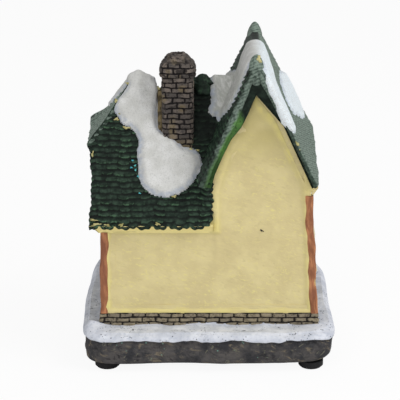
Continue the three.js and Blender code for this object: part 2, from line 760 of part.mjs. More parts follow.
// A box on a wall: u runs along the wall, v up, and w out of it from the wall's outer face.
function onWall(wall, at, u0, u1, v0, v1, w0, w1) {
  if (wall === "front") {
    return block(u0, u1, FRONT_Y - w1, FRONT_Y - w0, v0, v1);
  }
  const face = wallReach(wall === "east" ? 1 : -1, at);
  return wall === "east"
    ? block(face + w0, face + w1, u0, u1, v0, v1)
    : block(-face - w1, -face - w0, u0, u1, v0, v1);
}

function windowHole({ wall, middle, sill, width, height }, grow) {
  return onWall(
    wall, sill, middle - width / 2 - grow, middle + width / 2 + grow,
    sill - grow, sill + height + grow, -2 * WALL_THICKNESS, WALL_THICKNESS,
  );
}

function addWindow(name, window) {
  const { wall, middle, sill, width, height } = window;
  const left = middle - width / 2;
  const right = middle + width / 2;
  const top = sill + height;
  const frameBack = -WALL_THICKNESS / 2;
  let frame = onWall(wall, sill, left, right, sill, top, frameBack, FRAME_PROUD);
  const columns = 2;
  const rows = 2;
  const lightWidth = (width - 2 * FRAME_WIDTH - (columns - 1) * MUNTIN) / columns;
  const lightHeight = (height - 2 * FRAME_WIDTH - (rows - 1) * MUNTIN) / rows;
  for (let column = 0; column < columns; column++) {
    for (let row = 0; row < rows; row++) {
      const u = left + FRAME_WIDTH + column * (lightWidth + MUNTIN);
      const v = sill + FRAME_WIDTH + row * (lightHeight + MUNTIN);
      frame = frame.subtract(
        onWall(wall, sill, u, u + lightWidth, v, v + lightHeight, -SKY, SKY),
      );
    }
  }
  const board = onWall(
    wall, sill, left - SILL_PROUD, right + SILL_PROUD,
    sill - SILL_HEIGHT, sill, CLEARANCE, FRAME_PROUD + SILL_PROUD,
  );
  const nose = onWall(wall, sill, left, right, sill - SILL_HEIGHT / 2, sill + 0.5, CLEARANCE, FRAME_PROUD);
  addPart(`${name}_frame`, frame.add(board).add(nose), framePaint);
  const pane = onWall(
    wall, sill, left, right, sill, top, frameBack - PANE_THICKNESS, frameBack,
  );
  addPart(`${name}_pane`, pane, panePlastic);
}

// The door's opening as an outline with a round head, grown by an amount.
const DOOR_SILL = PLINTH_TOP;
function doorOutline(grow) {
  const half = DOOR_WIDTH / 2 + grow;
  const spring = DOOR_SILL + DOOR_HEIGHT - DOOR_WIDTH / 2;
  const outline = [[GABLE_X - half, DOOR_SILL], [GABLE_X + half, DOOR_SILL]];
  const steps = 12;
  for (let step = 0; step <= steps; step++) {
    const angle = (step / steps) * Math.PI;
    outline.push([GABLE_X + half * Math.cos(angle), spring + half * Math.sin(angle)]);
  }
  return outline;
}

function addDoor() {
  const recess = WALL_THICKNESS / 2;
  const leafFront = FRONT_Y + recess - DOOR_THICKNESS;
  let leaf = prism("y", doorOutline(-CLEARANCE), leafFront, FRONT_Y + recess - CLEARANCE);
  const planks = 5;
  for (let plank = 1; plank < planks; plank++) {
    const x = GABLE_X - DOOR_WIDTH / 2 + (plank * DOOR_WIDTH) / planks;
    leaf = leaf.subtract(block(x - 0.15, x + 0.15, leafFront - 1, leafFront + 0.3, 0, SKY));
  }
  addPart("front_door", leaf, doorPaint);
  const ring = prism("y", doorOutline(FRAME_WIDTH), FRONT_Y - CLEARANCE - FRAME_PROUD, FRONT_Y - CLEARANCE)
    .subtract(prism("y", doorOutline(0), FRONT_Y - WALL_THICKNESS, FRONT_Y + WALL_THICKNESS))
    .subtract(block(-SKY, SKY, -SKY, SKY, 0, DOOR_SILL + CLEARANCE));
  addPart("door_frame", ring, framePaint);
  const knob = new THREE.SphereGeometry(KNOB_DIAMETER / 2, 12, 8);
  knob.translate(
    GABLE_X + DOOR_WIDTH * 0.32, leafFront - KNOB_DIAMETER / 2, DOOR_SILL + DOOR_HEIGHT * 0.42,
  );
  addPart("door_knob", solidFrom(knob).subtract(
    block(-SKY, SKY, leafFront, SKY, 0, SKY),
  ), brass);
  const ringRadius = (WREATH_DIAMETER - WREATH_BODY) / 2;
  const wreath = new THREE.TorusGeometry(ringRadius, WREATH_BODY / 2, 6, 18);
  wreath.rotateX(Math.PI / 2);
  wreath.translate(GABLE_X, leafFront - WREATH_BODY / 2 - 0.1, DOOR_SILL + DOOR_HEIGHT * 0.68);
  addPart("door_wreath", solidFrom(wreath), wreathPaint);
}

function stepBlock(grow) {
  const back = HOUSE_CENTRE_Y - PLINTH_HALF_Y - CLEARANCE;
  return block(
    GABLE_X - STEP_WIDTH / 2 - grow, GABLE_X + STEP_WIDTH / 2 + grow,
    back - STEP_DEPTH - grow, back + (grow > 0 ? 1 : 0),
    grow > 0 ? 0 : BASE_TOP, BASE_TOP + SNOW_WALL_DEPTH + STEP_RISE,
  );
}

function addStep() {
  addPart("door_step", stepBlock(0), rockPaint);
}

function addWalls() {
  const shell = mainRoofSpace(-ROOF_THICKNESS - CLEARANCE, 0)
    .add(gableWallVolume(0, FRONT_Y, BACK_Y))
    .intersect(wallFootprint(0));
  let walls = shell.subtract(interior(0, SKY));
  for (const [sx, y, top] of Object.values(postTops())) {
    walls = walls.subtract(post(sx, y, top, CLEARANCE));
  }
  for (const window of Object.values(WINDOWS)) {
    walls = walls.subtract(windowHole(window, CLEARANCE));
  }
  walls = walls.subtract(prism("y", doorOutline(0), FRONT_Y - 1, FRONT_Y + WALL_THICKNESS / 2));
  walls = walls.subtract(backPanels());
  addPart("house_walls", walls, wallPaint);
  for (const [corner, [sx, y, top]] of Object.entries(postTops())) {
    addPart(`corner_post_${corner}`, post(sx, y, top, 0), postPaint);
  }
}

// Two shallow panels sunk in the back wall, a rim's width inside its edges.
function backPanels() {
  const rim = PANEL_RIM;
  const low = PLINTH_TOP + rim;
  const divide = GABLE_X + GABLE_WALL_EAST - rim;
  const east = HOUSE_WIDTH / 2 - POST_SIZE - rim / 2;
  const under = MAIN_EAVE_Z - CORNICE_DROP;
  const mainPanel = [[divide, low], [east, low], [east, under], [divide, under]];
  const [westX, westZ] = GABLE_WALL_WEST_SHOULDER;
  const [eastX, eastZ] = GABLE_WALL_EAST_SHOULDER;
  const west = GABLE_X - (HOUSE_WIDTH / 2 + GABLE_X) + POST_SIZE;
  const gablePanel = [
    [divide, low],
    [divide, GABLE_WALL_EAVE_Z],
    [GABLE_X + eastX - rim * 1.4, eastZ],
    [GABLE_X, GABLE_WALL_TIP_Z - rim * 3],
    [GABLE_X - westX + rim * 1.2, westZ - rim],
    [west, GABLE_WALL_EAVE_Z],
    [west, low],
  ];
  return prism("y", mainPanel, BACK_Y - PANEL_DEPTH, BACK_Y + 1)
    .add(prism("y", gablePanel, BACK_Y - PANEL_DEPTH * 0.7, BACK_Y + 1));
}

function addRoofs() {
  const mainRoof = mainRoofVolume(0, COURSE_LAP)
    .subtract(mainRoofSpace(-ROOF_THICKNESS, CLEARANCE))
    .subtract(gableVolume(CLEARANCE, 0, CLEARANCE))
    .subtract(gableWallVolume(CLEARANCE, FRONT_Y - CLEARANCE, BACK_Y + CLEARANCE))
    .subtract(block(-SKY, MAIN_ROOF_START_X, -SKY, SKY, 0, GABLE_EAVE_Z));
  addPart("main_roof", mainRoof, shinglePaint);
  const through = gableWallVolume(CLEARANCE, GABLE_FRONT_Y - 5, GABLE_BACK_Y + 5);
  const band = gableWallVolume(VERGE_BAND, GABLE_BACK_Y - VERGE_STEP, GABLE_BACK_Y + 5)
    .add(gableWallVolume(VERGE_BAND, GABLE_FRONT_Y - 5, GABLE_FRONT_Y + VERGE_STEP))
    .intersect(block(GABLE_X, SKY, -SKY, SKY, 0, GABLE_WALL_TIP_Z));
  const gableRoof = gableVolume(0, COURSE_LAP)
    .subtract(through)
    .subtract(band)
    .subtract(mainRoofSpace(-ROOF_THICKNESS, CLEARANCE));
  addPart("gable_roof", gableRoof, shinglePaint);
}

// The gable's ridge roll: round in the middle, and swelling into an upturned nub at each end.
function gableRoll(grow) {
  const low = GABLE_FRONT_Y - GABLE_ROLL_REACH - grow;
  const high = GABLE_BACK_Y + GABLE_ROLL_REACH + grow;
  const near = [0, 0.4, 1.2, 3, 5, 7, NUB_LENGTH];
  const stations = [...near.map((d) => low + d), ...near.map((d) => high - d).reverse()];
  const middleTop = GABLE_RIDGE_Z - 0.4 + GABLE_ROLL_RADIUS;
  const middleLow = middleTop - 2 * GABLE_ROLL_RADIUS;
  return loft(stations.map((y) => {
    const inward = Math.min(y - low, high - y);
    const swell = 0.5 + 0.5 * Math.cos(Math.PI * Math.min(inward / NUB_LENGTH, 1));
    const short = Math.max(1 - inward / GABLE_ROLL_RADIUS, 0);
    const round = Math.sqrt(Math.max(1 - short * short, 0.09));
    const top = middleTop + (GABLE_RIDGE_Z + NUB_RISE - middleTop) * swell;
    const bottom = middleLow + (GABLE_RIDGE_Z - NUB_DROP - middleLow) * swell;
    const wide = (GABLE_ROLL_RADIUS + grow) * round;
    const tall = ((top - bottom) / 2 + grow) * round;
    return circlePoints(12).map(([across, up]) => new THREE.Vector3(
      GABLE_X + wide * across, y, (top + bottom) / 2 + tall * up,
    ));
  }));
}

function mainRoll(grow) {
  const start = GABLE_X + GABLE_HALF_TOP;
  const end = VERGE_X - HIP_RUN + 1;
  const stations = [[start, 1], [end - 1.2, 1], [end - 0.4, 0.8], [end, 0.5]];
  return loft(stations.map(([x, share]) => {
    const radius = share * MAIN_RIDGE_RADIUS + grow;
    return circlePoints(12).map(([across, up]) => new THREE.Vector3(
      x, HOUSE_CENTRE_Y + radius * across, MAIN_RIDGE_Z - 0.6 + radius * up,
    ));
  }));
}

function addRidges() {
  const gable = gableRoll(0)
    .subtract(gableVolume(CLEARANCE, 0, CLEARANCE))
    .subtract(gableWallVolume(VERGE_BAND + CLEARANCE, GABLE_FRONT_Y - 5, GABLE_BACK_Y + 5));
  addPart("gable_ridge_roll", gable, ridgePaint);
  const main = mainRoll(0)
    .subtract(mainRoofVolume(CLEARANCE))
    .subtract(gableVolume(CLEARANCE, 0, CLEARANCE));
  addPart("main_ridge_roll", main, ridgePaint);
}

function addCornices() {
  const wall = HALF_DEPTH + CLEARANCE;
  const reach = EAVE_RUN - CLEARANCE;
  for (const [name, side] of [["back", 1], ["front", -1]]) {
    const outline = [
      [HOUSE_CENTRE_Y + side * wall, MAIN_EAVE_Z - CORNICE_DROP],
      [HOUSE_CENTRE_Y + side * (wall + 0.6), MAIN_EAVE_Z - CORNICE_DROP],
      [HOUSE_CENTRE_Y + side * reach, MAIN_EAVE_Z - 0.6],
      [HOUSE_CENTRE_Y + side * reach, MAIN_EAVE_Z],
      [HOUSE_CENTRE_Y + side * wall, MAIN_EAVE_Z],
    ];
    addPart(`${name}_cornice`, prism("x", outline, MAIN_ROOF_START_X, VERGE_X - CLEARANCE), wallPaint);
  }
  const section = (y) => {
    const outer = GABLE_X - GABLE_HALF_WEST + 0.4;
    const z = GABLE_WALL_EAVE_Z + gableLift(y, GABLE_WALL_EAVE_Z);
    const inner = -(wallReach(-1, z - CORNICE_DROP) + CLEARANCE);
    return [
      new THREE.Vector3(inner, y, z - CORNICE_DROP),
      new THREE.Vector3(inner - 0.5, y, z - CORNICE_DROP),
      new THREE.Vector3(outer - 0.8, y, z - 0.8),
      new THREE.Vector3(outer - 0.8, y, z),
      new THREE.Vector3(inner, y, z),
    ];
  };
  addPart("west_cornice", loft([section(FRONT_Y), section(BACK_Y)]), wallPaint);
}

function atChimney(solid) {
  return placed(solid, new THREE.Matrix4().makeTranslation(CHIMNEY_X, CHIMNEY_Y, 0));
}

function chimneyShaft(grow) {
  const x = CHIMNEY_WIDTH / 2 + grow;
  const y = CHIMNEY_DEPTH / 2 + grow;
  return atChimney(block(-x, x, -y, y, MAIN_EAVE_Z, CHIMNEY_TOP));
}

function addChimney() {
  const courses = Math.ceil((CHIMNEY_SHAFT_TOP - HIP_EAVE_Z + 14) / CHIMNEY_COURSE);
  const bricks = brickwork({
    width: CHIMNEY_WIDTH,
    depth: CHIMNEY_DEPTH,
    bottom: CHIMNEY_SHAFT_TOP - courses * CHIMNEY_COURSE,
    courses,
    course: CHIMNEY_COURSE,
    brick: CHIMNEY_BRICK,
  });
  const stack = atChimney(bricks).subtract(mainRoofVolume(CLEARANCE)).subtract(mainRoll(CLEARANCE));
  addPart("chimney_stack", mainBody(stack), brickPaint);
  const rows = CAP_COURSES;
  const profile = [[0, 0]];
  for (let row = 0; row < rows; row++) {
    const reach = (share) => CAP_OVERHANG - CAP_DRAW * share ** 2;
    profile.push([(row + 0.08) / rows, reach(row / rows)]);
    profile.push([(row + 0.85) / rows, reach((row + 0.7) / rows)]);
    profile.push([(row + 0.92) / rows, reach((row + 0.7) / rows) - MORTAR_DEPTH]);
  }
  profile.push([1, CAP_OVERHANG - CAP_DRAW]);
  const rings = profile.map(([share, out]) => {
    const loop = roundedLoop(
      CHIMNEY_WIDTH + 2 * out, CHIMNEY_DEPTH + 2 * out, 1 + 2 * share, 3, 1,
    );
    return atHeight(loop, CHIMNEY_SHAFT_TOP + CAP_HEIGHT * share);
  });
  const flue = new THREE.CylinderGeometry(FLUE_DIAMETER / 2, FLUE_DIAMETER / 2, 2 * FLUE_DEPTH, 20);
  flue.rotateX(Math.PI / 2);
  flue.translate(0, 0, CHIMNEY_TOP);
  addPart("chimney_cap", atChimney(loft(rings).subtract(solidFrom(flue))), brickPaint);
}

// Snow outlines, drawn by hand. On the main slopes they are in x and z, from the half-hip's peak or from
// where the two ridges meet. On the gable they are in y and z, from its ridge above the house's middle.
const byHip = ([u, v]) => [VERGE_X - HIP_RUN + u, MAIN_RIDGE_Z + v];
const byValley = ([u, v]) => [GABLE_X + u, MAIN_RIDGE_Z + v];
const onGable = ([u, v]) => [HOUSE_CENTRE_Y + u, GABLE_RIDGE_Z + v];
const BACK_SNOW = [
  [0.3, -0.5], [0.6, 6.5], [-8.9, 6.5], [-9.3, -4.5], [-9.7, -18.5], [-13.7, -20.1], [-16.9, -21.8],
  [-18.5, -24.9], [-21.7, -26], [-25.6, -26.7], [-27.2, -30.2], [-25.6, -34], [-22.5, -38.1],
  [-18.1, -40.6], [-13.4, -41.6], [-8.3, -40.6], [-4.7, -38.5], [-3.1, -35.4], [-2.3, -30.9],
  [-3, -28.1], [-1.8, -23.2], [0.2, -19], [3.5, -16.9], [5.9, -14.4], [7.1, -11.6], [4.8, -7.4],
  [2.4, -3.5],
].map(byHip);
const FRONT_SNOW = [
  [0.3, 6.5], [2.4, -3.5], [6.6, -9], [9.7, -13.5], [7.1, -19], [2.1, -23], [-2.9, -21], [-6.9, -25.5],
  [-11.4, -27], [-15.9, -23.5], [-18.4, -17.5], [-23.9, -15], [-27.9, -17.5], [-31.9, -13.5],
  [-34.9, 6.5],
].map(byHip);
const VALLEY_SNOW = [
  [18.1, 6.5], [16.9, -2.4], [16.1, -7.4], [17.3, -11.6], [16.9, -14.1], [14.5, -14.8], [9, -14.3],
  [2, -6.5], [2, 6.5],
].map(byValley);
const EAST_GABLE_SNOW = [
  [28, 8], [27, -1], [25, -9], [23, -15], [18, -21], [4, -21], [2, -9], [-2, -4], [-14, 8],
].map(onGable);
const WEST_GABLE_SNOW = [
  [28, 8], [28, -10], [27, -16], [24, -23], [19, -28], [8, -30], [1, -28], [-2, -22], [-4, -14],
  [-12, -6], [-16, 8],
].map(onGable);
const FAR_GABLE_SNOW = [
  [-16, -15], [-10, -22], [-10, -28], [-18, -33], [-26, -34.5], [-32, -32], [-33, -21], [-26, -14.5],
].map(onGable);

// A soft-edged sheet of snow over a smooth roof form: full outline below, drawn in on top.
function snowSheet(form, region) {
  const low = form(ROOF_SNOW_EDGE).intersect(region(0));
  const high = form(ROOF_SNOW).intersect(region(1));
  return low.add(high);
}

// Draws an outline in towards its middle by an amount.
function drawnIn(outline, amount) {
  const count = outline.length;
  const area = THREE.ShapeUtils.area(outline.map(([u, v]) => new THREE.Vector2(u, v)));
  const side = Math.sign(area);
  return outline.map(([u, v], i) => {
    const [pu, pv] = outline[(i + count - 1) % count];
    const [nu, nv] = outline[(i + 1) % count];
    const along = new THREE.Vector2(nu - pu, nv - pv).normalize();
    return [u - along.y * amount * side, v + along.x * amount * side];
  });
}

function addRoofSnow() {
  const inset = 0.8;
  const rolls = mainRoll(CLEARANCE).add(gableRoll(CLEARANCE));
  const beneath = mainRoofVolume(CLEARANCE)
    .add(gableVolume(CLEARANCE, 0, CLEARANCE))
    .add(rolls)
    .add(chimneyShaft(CLEARANCE));
  const overMain = (depth) => mainRoofVolume(CLEARANCE + depth);
  const overGable = (depth) => gableVolume(CLEARANCE + depth);
  const sheetOn = (form, axis, outline, low, high) => snowSheet(
    form, (layer) => prism(axis, drawnIn(outline, layer * inset), low, high),
  ).subtract(beneath);
  const ridgeY = HOUSE_CENTRE_Y;
  const back = sheetOn(overMain, "y", BACK_SNOW, ridgeY + CLEARANCE / 2, SKY);
  const front = sheetOn(overMain, "y", FRONT_SNOW, -SKY, ridgeY - CLEARANCE / 2)
    .subtract(gableVolume(ROOF_SNOW + 1));
  const valley = sheetOn(overMain, "y", VALLEY_SNOW, ridgeY + CLEARANCE / 2, SKY);
  const east = sheetOn(overGable, "x", EAST_GABLE_SNOW, GABLE_X, SKY);
  const west = sheetOn(overGable, "x", WEST_GABLE_SNOW, -SKY, GABLE_X);
  const far = sheetOn(overGable, "x", FAR_GABLE_SNOW, -SKY, GABLE_X - 2);
  addPart("back_roof_snow", mainBody(back), snowPaint);
  addPart("front_roof_snow", mainBody(front), snowPaint);
  addPart("valley_snow", mainBody(valley.add(east).add(west)), snowPaint);
  addPart("far_gable_snow", mainBody(far), snowPaint);
}

// Light insert: places along X of the cell bay and the switch, worked out from the cells.
const CELL_STACK = CELL_COUNT * (CELL_LENGTH + CELL_PLAY);
const BAY_LENGTH = CELL_STACK + SPRING_LENGTH + 2 * CONTACT_THICKNESS + 2 * CELL_PLAY;
const BAY_WIDTH = CELL_DIAMETER + 2 * CELL_PLAY;
const BAY_X = -BOX_LENGTH / 2 + BOX_WALL + BAY_LENGTH / 2 + COVER_MARGIN;
const COVER_LENGTH = BAY_LENGTH + 2 * COVER_MARGIN;
const COVER_WIDTH = BAY_WIDTH + 2 * COVER_MARGIN;
const COVER_TOP = BASE_BOTTOM + FLANGE_THICKNESS - COVER_GAP;
const BOX_TOP = BASE_BOTTOM + BOX_HEIGHT;
const CELL_Z = FLANGE_TOP + CELL_PLAY + CELL_DIAMETER / 2;
const SWITCH_X = (BAY_X + BAY_LENGTH / 2 + COVER_MARGIN + BOX_LENGTH / 2) / 2;
const SWITCH_SLOT = SWITCH_KNOB_LENGTH + SWITCH_TRAVEL + 2 * CLEARANCE;
const SCREW_X = BAY_X + BAY_LENGTH / 2 - LUG_LENGTH / 2;
const SCREW_Y = -(BAY_WIDTH + BOX_WIDTH) / 4;

// An upright round rod beside the light insert's middle.
function insertRod(diameter, x, y, z0, z1) {
  const rod = new THREE.CylinderGeometry(diameter / 2, diameter / 2, z1 - z0, 20);
  rod.rotateX(Math.PI / 2);
  rod.translate(x, HOUSE_CENTRE_Y + y, (z0 + z1) / 2);
  return solidFrom(rod);
}

// The cover's outline seen from below: the plate and its screw lug, grown by an amount.
function coverPlate(grow, z0, z1) {
  const plate = insertBlock(COVER_LENGTH + 2 * grow, COVER_WIDTH + 2 * grow, z0, z1, BAY_X);
  const lugWidth = BOX_WIDTH / 2 + grow;
  const lug = insertBlock(LUG_LENGTH + 2 * grow, lugWidth, z0, z1, SCREW_X, -lugWidth / 2);
  return plate.add(lug);
}

function addLightInsert() {
  const flange = insertBlock(FLANGE_LENGTH, FLANGE_WIDTH, BASE_BOTTOM, FLANGE_TOP);
  const body = insertBlock(BOX_LENGTH, BOX_WIDTH, FLANGE_TOP - 0.5, BOX_TOP);
  const bay = insertBlock(BAY_LENGTH, BAY_WIDTH, BASE_BOTTOM - 1, BOX_TOP - BOX_WALL, BAY_X);
  const coverSeat = coverPlate(COVER_GAP, BASE_BOTTOM - 1, FLANGE_TOP);
  const screwHole = insertRod(
    SCREW_SHANK + 2 * CLEARANCE, SCREW_X, SCREW_Y, FLANGE_TOP - 1, COVER_TOP + SCREW_REACH,
  );
  const switchBay = insertBlock(
    SWITCH_LENGTH + 2 * CLEARANCE, SWITCH_WIDTH + 2 * CLEARANCE,
    FLANGE_TOP, BOX_TOP - BOX_WALL, SWITCH_X,
  );
  const slot = insertBlock(
    SWITCH_SLOT, SWITCH_KNOB_WIDTH + 2 * CLEARANCE, BASE_BOTTOM - 1, FLANGE_TOP + 1, SWITCH_X,
  );
  const hollows = [bay, coverSeat, screwHole, switchBay, slot];
  const box = hollows.reduce((left, hollow) => left.subtract(hollow), flange.add(body));
  addPart("battery_box", box, blackPlastic);

  const coverBottom = BASE_BOTTOM;
  const grip = insertBlock(
    GRIP_LENGTH, GRIP_WIDTH, coverBottom - 1, coverBottom + GRIP_DEPTH, BAY_X - COVER_LENGTH / 4,
  );
  const headTop = coverBottom + SCREW_HEAD_DEPTH;
  const cover = coverPlate(0, coverBottom, COVER_TOP)
    .subtract(grip)
    .subtract(insertRod(SCREW_HEAD + 2 * CLEARANCE, SCREW_X, SCREW_Y, coverBottom - 1, headTop))
    .subtract(insertRod(SCREW_SHANK + 2 * CLEARANCE, SCREW_X, SCREW_Y, coverBottom, COVER_TOP + 1));
  addPart("battery_cover", cover, blackPlastic);
  const drive = SCREW_DRIVE / 2;
  const cross = insertBlock(SCREW_HEAD * 0.7, 2 * drive, 0, coverBottom + drive, SCREW_X, SCREW_Y)
    .add(insertBlock(2 * drive, SCREW_HEAD * 0.7, 0, coverBottom + drive, SCREW_X, SCREW_Y));
  const screw = insertRod(SCREW_HEAD, SCREW_X, SCREW_Y, coverBottom, headTop)
    .add(insertRod(SCREW_SHANK, SCREW_X, SCREW_Y, headTop - drive / 2, coverBottom + SCREW_REACH))
    .subtract(cross);
  addPart("cover_screw", screw, steel);

  const bayEnd = BAY_X - BAY_LENGTH / 2;
  for (let cell = 0; cell < CELL_COUNT; cell++) {
    const radius = CELL_DIAMETER / 2;
    const profile = [
      new THREE.Vector2(0, 0),
      new THREE.Vector2(radius - 0.4, 0),
      new THREE.Vector2(radius, 0.4),
      new THREE.Vector2(radius, CELL_LENGTH - 0.9),
      new THREE.Vector2(radius - 0.8, CELL_LENGTH - 0.5),
      new THREE.Vector2(radius - 1.2, CELL_LENGTH),
      new THREE.Vector2(0, CELL_LENGTH),
    ];
    const geometry = new THREE.LatheGeometry(profile, 18);
    geometry.rotateZ(-Math.PI / 2);
    const start = bayEnd + CONTACT_THICKNESS + 2 * CELL_PLAY + cell * (CELL_LENGTH + CELL_PLAY);
    geometry.translate(start, HOUSE_CENTRE_Y, CELL_Z);
    addPart(`button_cell_${cell + 1}`, solidFrom(geometry), steel);
  }
  const plateHalf = CELL_DIAMETER * 0.38;
  const plate = block(
    bayEnd + CELL_PLAY, bayEnd + CELL_PLAY + CONTACT_THICKNESS,
    HOUSE_CENTRE_Y - plateHalf, HOUSE_CENTRE_Y + plateHalf, CELL_Z - plateHalf, CELL_Z + plateHalf,
  );
  addPart("contact_plate", plate, steel);
  addPart("contact_spring", contactSpring(), steel);

  const body1 = insertBlock(
    SWITCH_LENGTH, SWITCH_WIDTH, FLANGE_TOP + CLEARANCE, FLANGE_TOP + CLEARANCE + SWITCH_HEIGHT, SWITCH_X,
  );
  const knobX = SWITCH_X - SWITCH_TRAVEL / 2;
  const channel = insertBlock(
    SWITCH_SLOT, SWITCH_KNOB_WIDTH + 2 * CLEARANCE,
    FLANGE_TOP, FLANGE_TOP + CLEARANCE + SWITCH_HEIGHT / 2, SWITCH_X,
  );
  addPart("switch_body", body1.subtract(channel), steel);
  const knob = insertBlock(
    SWITCH_KNOB_LENGTH, SWITCH_KNOB_WIDTH,
    BASE_BOTTOM - SWITCH_KNOB_PROUD, FLANGE_TOP + SWITCH_HEIGHT / 2, knobX,
  );
  addPart("switch_knob", knob, blackPlastic);
}

// The contact spring: a wire wound along the bay, flat against the last cell.
function contactSpring() {
  const start = BAY_X + BAY_LENGTH / 2 - CELL_PLAY - SPRING_WIRE / 2;
  const run = SPRING_LENGTH - SPRING_WIRE;
  const points = [];
  const steps = SPRING_TURNS * 8;
  for (let step = 0; step <= steps; step++) {
    const angle = (step / steps) * SPRING_TURNS * 2 * Math.PI;
    const radius = (SPRING_DIAMETER - SPRING_WIRE) / 2;
    points.push(new THREE.Vector3(
      start - (run * step) / steps,
      HOUSE_CENTRE_Y + radius * Math.cos(angle),
      CELL_Z + radius * Math.sin(angle),
    ));
  }
  return wireAlong(points, SPRING_WIRE, steps);
}

// A round wire along a smooth path.
function wireAlong(points, diameter, steps) {
  const section = new THREE.Shape();
  const sides = 6;
  for (let side = 0; side < sides; side++) {
    const angle = (side / sides) * 2 * Math.PI;
    const x = (diameter / 2) * Math.cos(angle);
    const y = (diameter / 2) * Math.sin(angle);
    if (side === 0) section.moveTo(x, y);
    else section.lineTo(x, y);
  }
  section.closePath();
  const extrudePath = new THREE.CatmullRomCurve3(points);
  return solidFrom(new THREE.ExtrudeGeometry(section, { steps, extrudePath }));
}

function addLamp() {
  const standX = BAY_X;
  const stand = new THREE.CylinderGeometry(
    LED_STAND_DIAMETER / 2, LED_STAND_DIAMETER / 2 + 1, LED_STAND_HEIGHT, 24,
  );
  stand.rotateX(Math.PI / 2);
  stand.translate(standX, HOUSE_CENTRE_Y, BOX_TOP + LED_STAND_HEIGHT / 2);
  addPart("led_stand", solidFrom(stand), blackPlastic);
  const radius = LED_DIAMETER / 2;
  const profile = [
    new THREE.Vector2(0, 0),
    new THREE.Vector2(radius + 0.4, 0),
    new THREE.Vector2(radius + 0.4, 1),
    new THREE.Vector2(radius, 1),
  ];
  for (let step = 0; step <= 4; step++) {
    const angle = (step / 4) * (Math.PI / 2);
    profile.push(new THREE.Vector2(
      step === 4 ? 0 : radius * Math.cos(angle), LED_HEIGHT - radius + radius * Math.sin(angle),
    ));
  }
  const lens = new THREE.LatheGeometry(profile, 18);
  lens.rotateX(Math.PI / 2);
  lens.translate(standX, HOUSE_CENTRE_Y, BOX_TOP + LED_STAND_HEIGHT);
  addPart("led", solidFrom(lens), lensPlastic);
  const away = LED_STAND_DIAMETER / 2 + 1 + WIRE_DIAMETER;
  for (const [name, side, material] of [["red", 1, redWire], ["black", -1, blackWire]]) {
    const y = HOUSE_CENTRE_Y + side * away;
    const top = BOX_TOP + LED_STAND_HEIGHT + WIRE_DIAMETER;
    const points = [
      new THREE.Vector3(standX, y, BOX_TOP + CLEARANCE),
      new THREE.Vector3(standX, y + side * 0.6, BOX_TOP + LED_STAND_HEIGHT * 0.4),
      new THREE.Vector3(standX, y, BOX_TOP + LED_STAND_HEIGHT * 0.85),
      new THREE.Vector3(standX, y - side * 1.4, top),
      new THREE.Vector3(standX, HOUSE_CENTRE_Y + side * (radius + 0.4 + CLEARANCE), top + 0.3),
    ];
    addPart(`led_wire_${name}`, wireAlong(points, WIRE_DIAMETER, 16), material);
  }
}

addBase();
addFeet();
addStep();
addGroundSnow();
addPlinth();
addWalls();
addRoofs();
addRidges();
addCornices();
addChimney();
addRoofSnow();
addDoor();
for (const [name, window] of Object.entries(WINDOWS)) addWindow(name, window);
addLightInsert();
addLamp();

export default house;
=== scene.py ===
import math

import bpy
import mathutils
import numpy as np
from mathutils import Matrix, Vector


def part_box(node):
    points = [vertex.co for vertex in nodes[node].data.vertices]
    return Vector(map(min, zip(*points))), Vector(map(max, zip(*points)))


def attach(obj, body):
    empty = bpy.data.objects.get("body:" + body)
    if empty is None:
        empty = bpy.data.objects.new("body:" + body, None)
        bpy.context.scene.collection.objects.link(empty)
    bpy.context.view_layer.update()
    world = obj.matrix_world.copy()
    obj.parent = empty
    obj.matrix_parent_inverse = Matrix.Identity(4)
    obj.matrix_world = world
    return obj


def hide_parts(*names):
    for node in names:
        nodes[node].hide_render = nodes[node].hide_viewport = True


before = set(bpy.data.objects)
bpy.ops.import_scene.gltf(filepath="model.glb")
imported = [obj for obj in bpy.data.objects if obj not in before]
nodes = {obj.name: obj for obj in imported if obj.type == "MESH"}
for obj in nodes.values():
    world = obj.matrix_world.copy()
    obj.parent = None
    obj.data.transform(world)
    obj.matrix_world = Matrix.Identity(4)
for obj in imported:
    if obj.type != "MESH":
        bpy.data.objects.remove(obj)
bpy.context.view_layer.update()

MM = 0.001

# House sizes in millimetres, as the solids have them. +X is east, +Y is the plain back.
BACK_Y, FRONT_Y, MIDDLE_Y = 32.0, -24.0, 4.0
BASE_BOTTOM, BASE_TOP, PLINTH_TOP = 3.0, 15.6, 21.45
HALF_WIDTH, EAST_LEAN, WEST_LEAN = 43.0, 0.012, 0.06
RIDGE_Z, EAVE_Z, EAVE_RUN = 111.5, 59.0, 32.3
VERGE_X, HIP_RUN, HIP_EAVE_Z = 47.7, 16.8, 88.0
ROOF_THICKNESS = 3.4
GABLE_X, GABLE_RIDGE_Z, GABLE_EAVE_Z, GABLE_LIFT = -18.0, 122.0, 75.5, 7.0
GABLE_FALL = GABLE_RIDGE_Z - GABLE_EAVE_Z
GABLE_BACK_Y, GABLE_FRONT_Y = 35.0, -27.0
GABLE_EAST, GABLE_WEST, GABLE_TOP, GABLE_BEND = 22.3, 24.4, 2.6, 1.05
SHINGLE_ROW, SHINGLE_WIDTH, SHINGLE_LAP = 2.4, 4.45, 0.66
SLOPE_STEP = 0.27
CHIMNEY_X, CHIMNEY_Y = 12.5, 13.2
CHIMNEY_HALF_X, CHIMNEY_HALF_Y, CHIMNEY_COURSE = 6.3, 6.2, 2.1
PLINTH_HALF_X, PLINTH_HALF_Y = 43.8, 28.8
BASE_HALF_X, BASE_HALF_Y = 49.5, 43.4
POST_HALF = 1.62
PITCH = (RIDGE_Z - EAVE_Z) / EAVE_RUN


# Numbers for hand-made unevenness

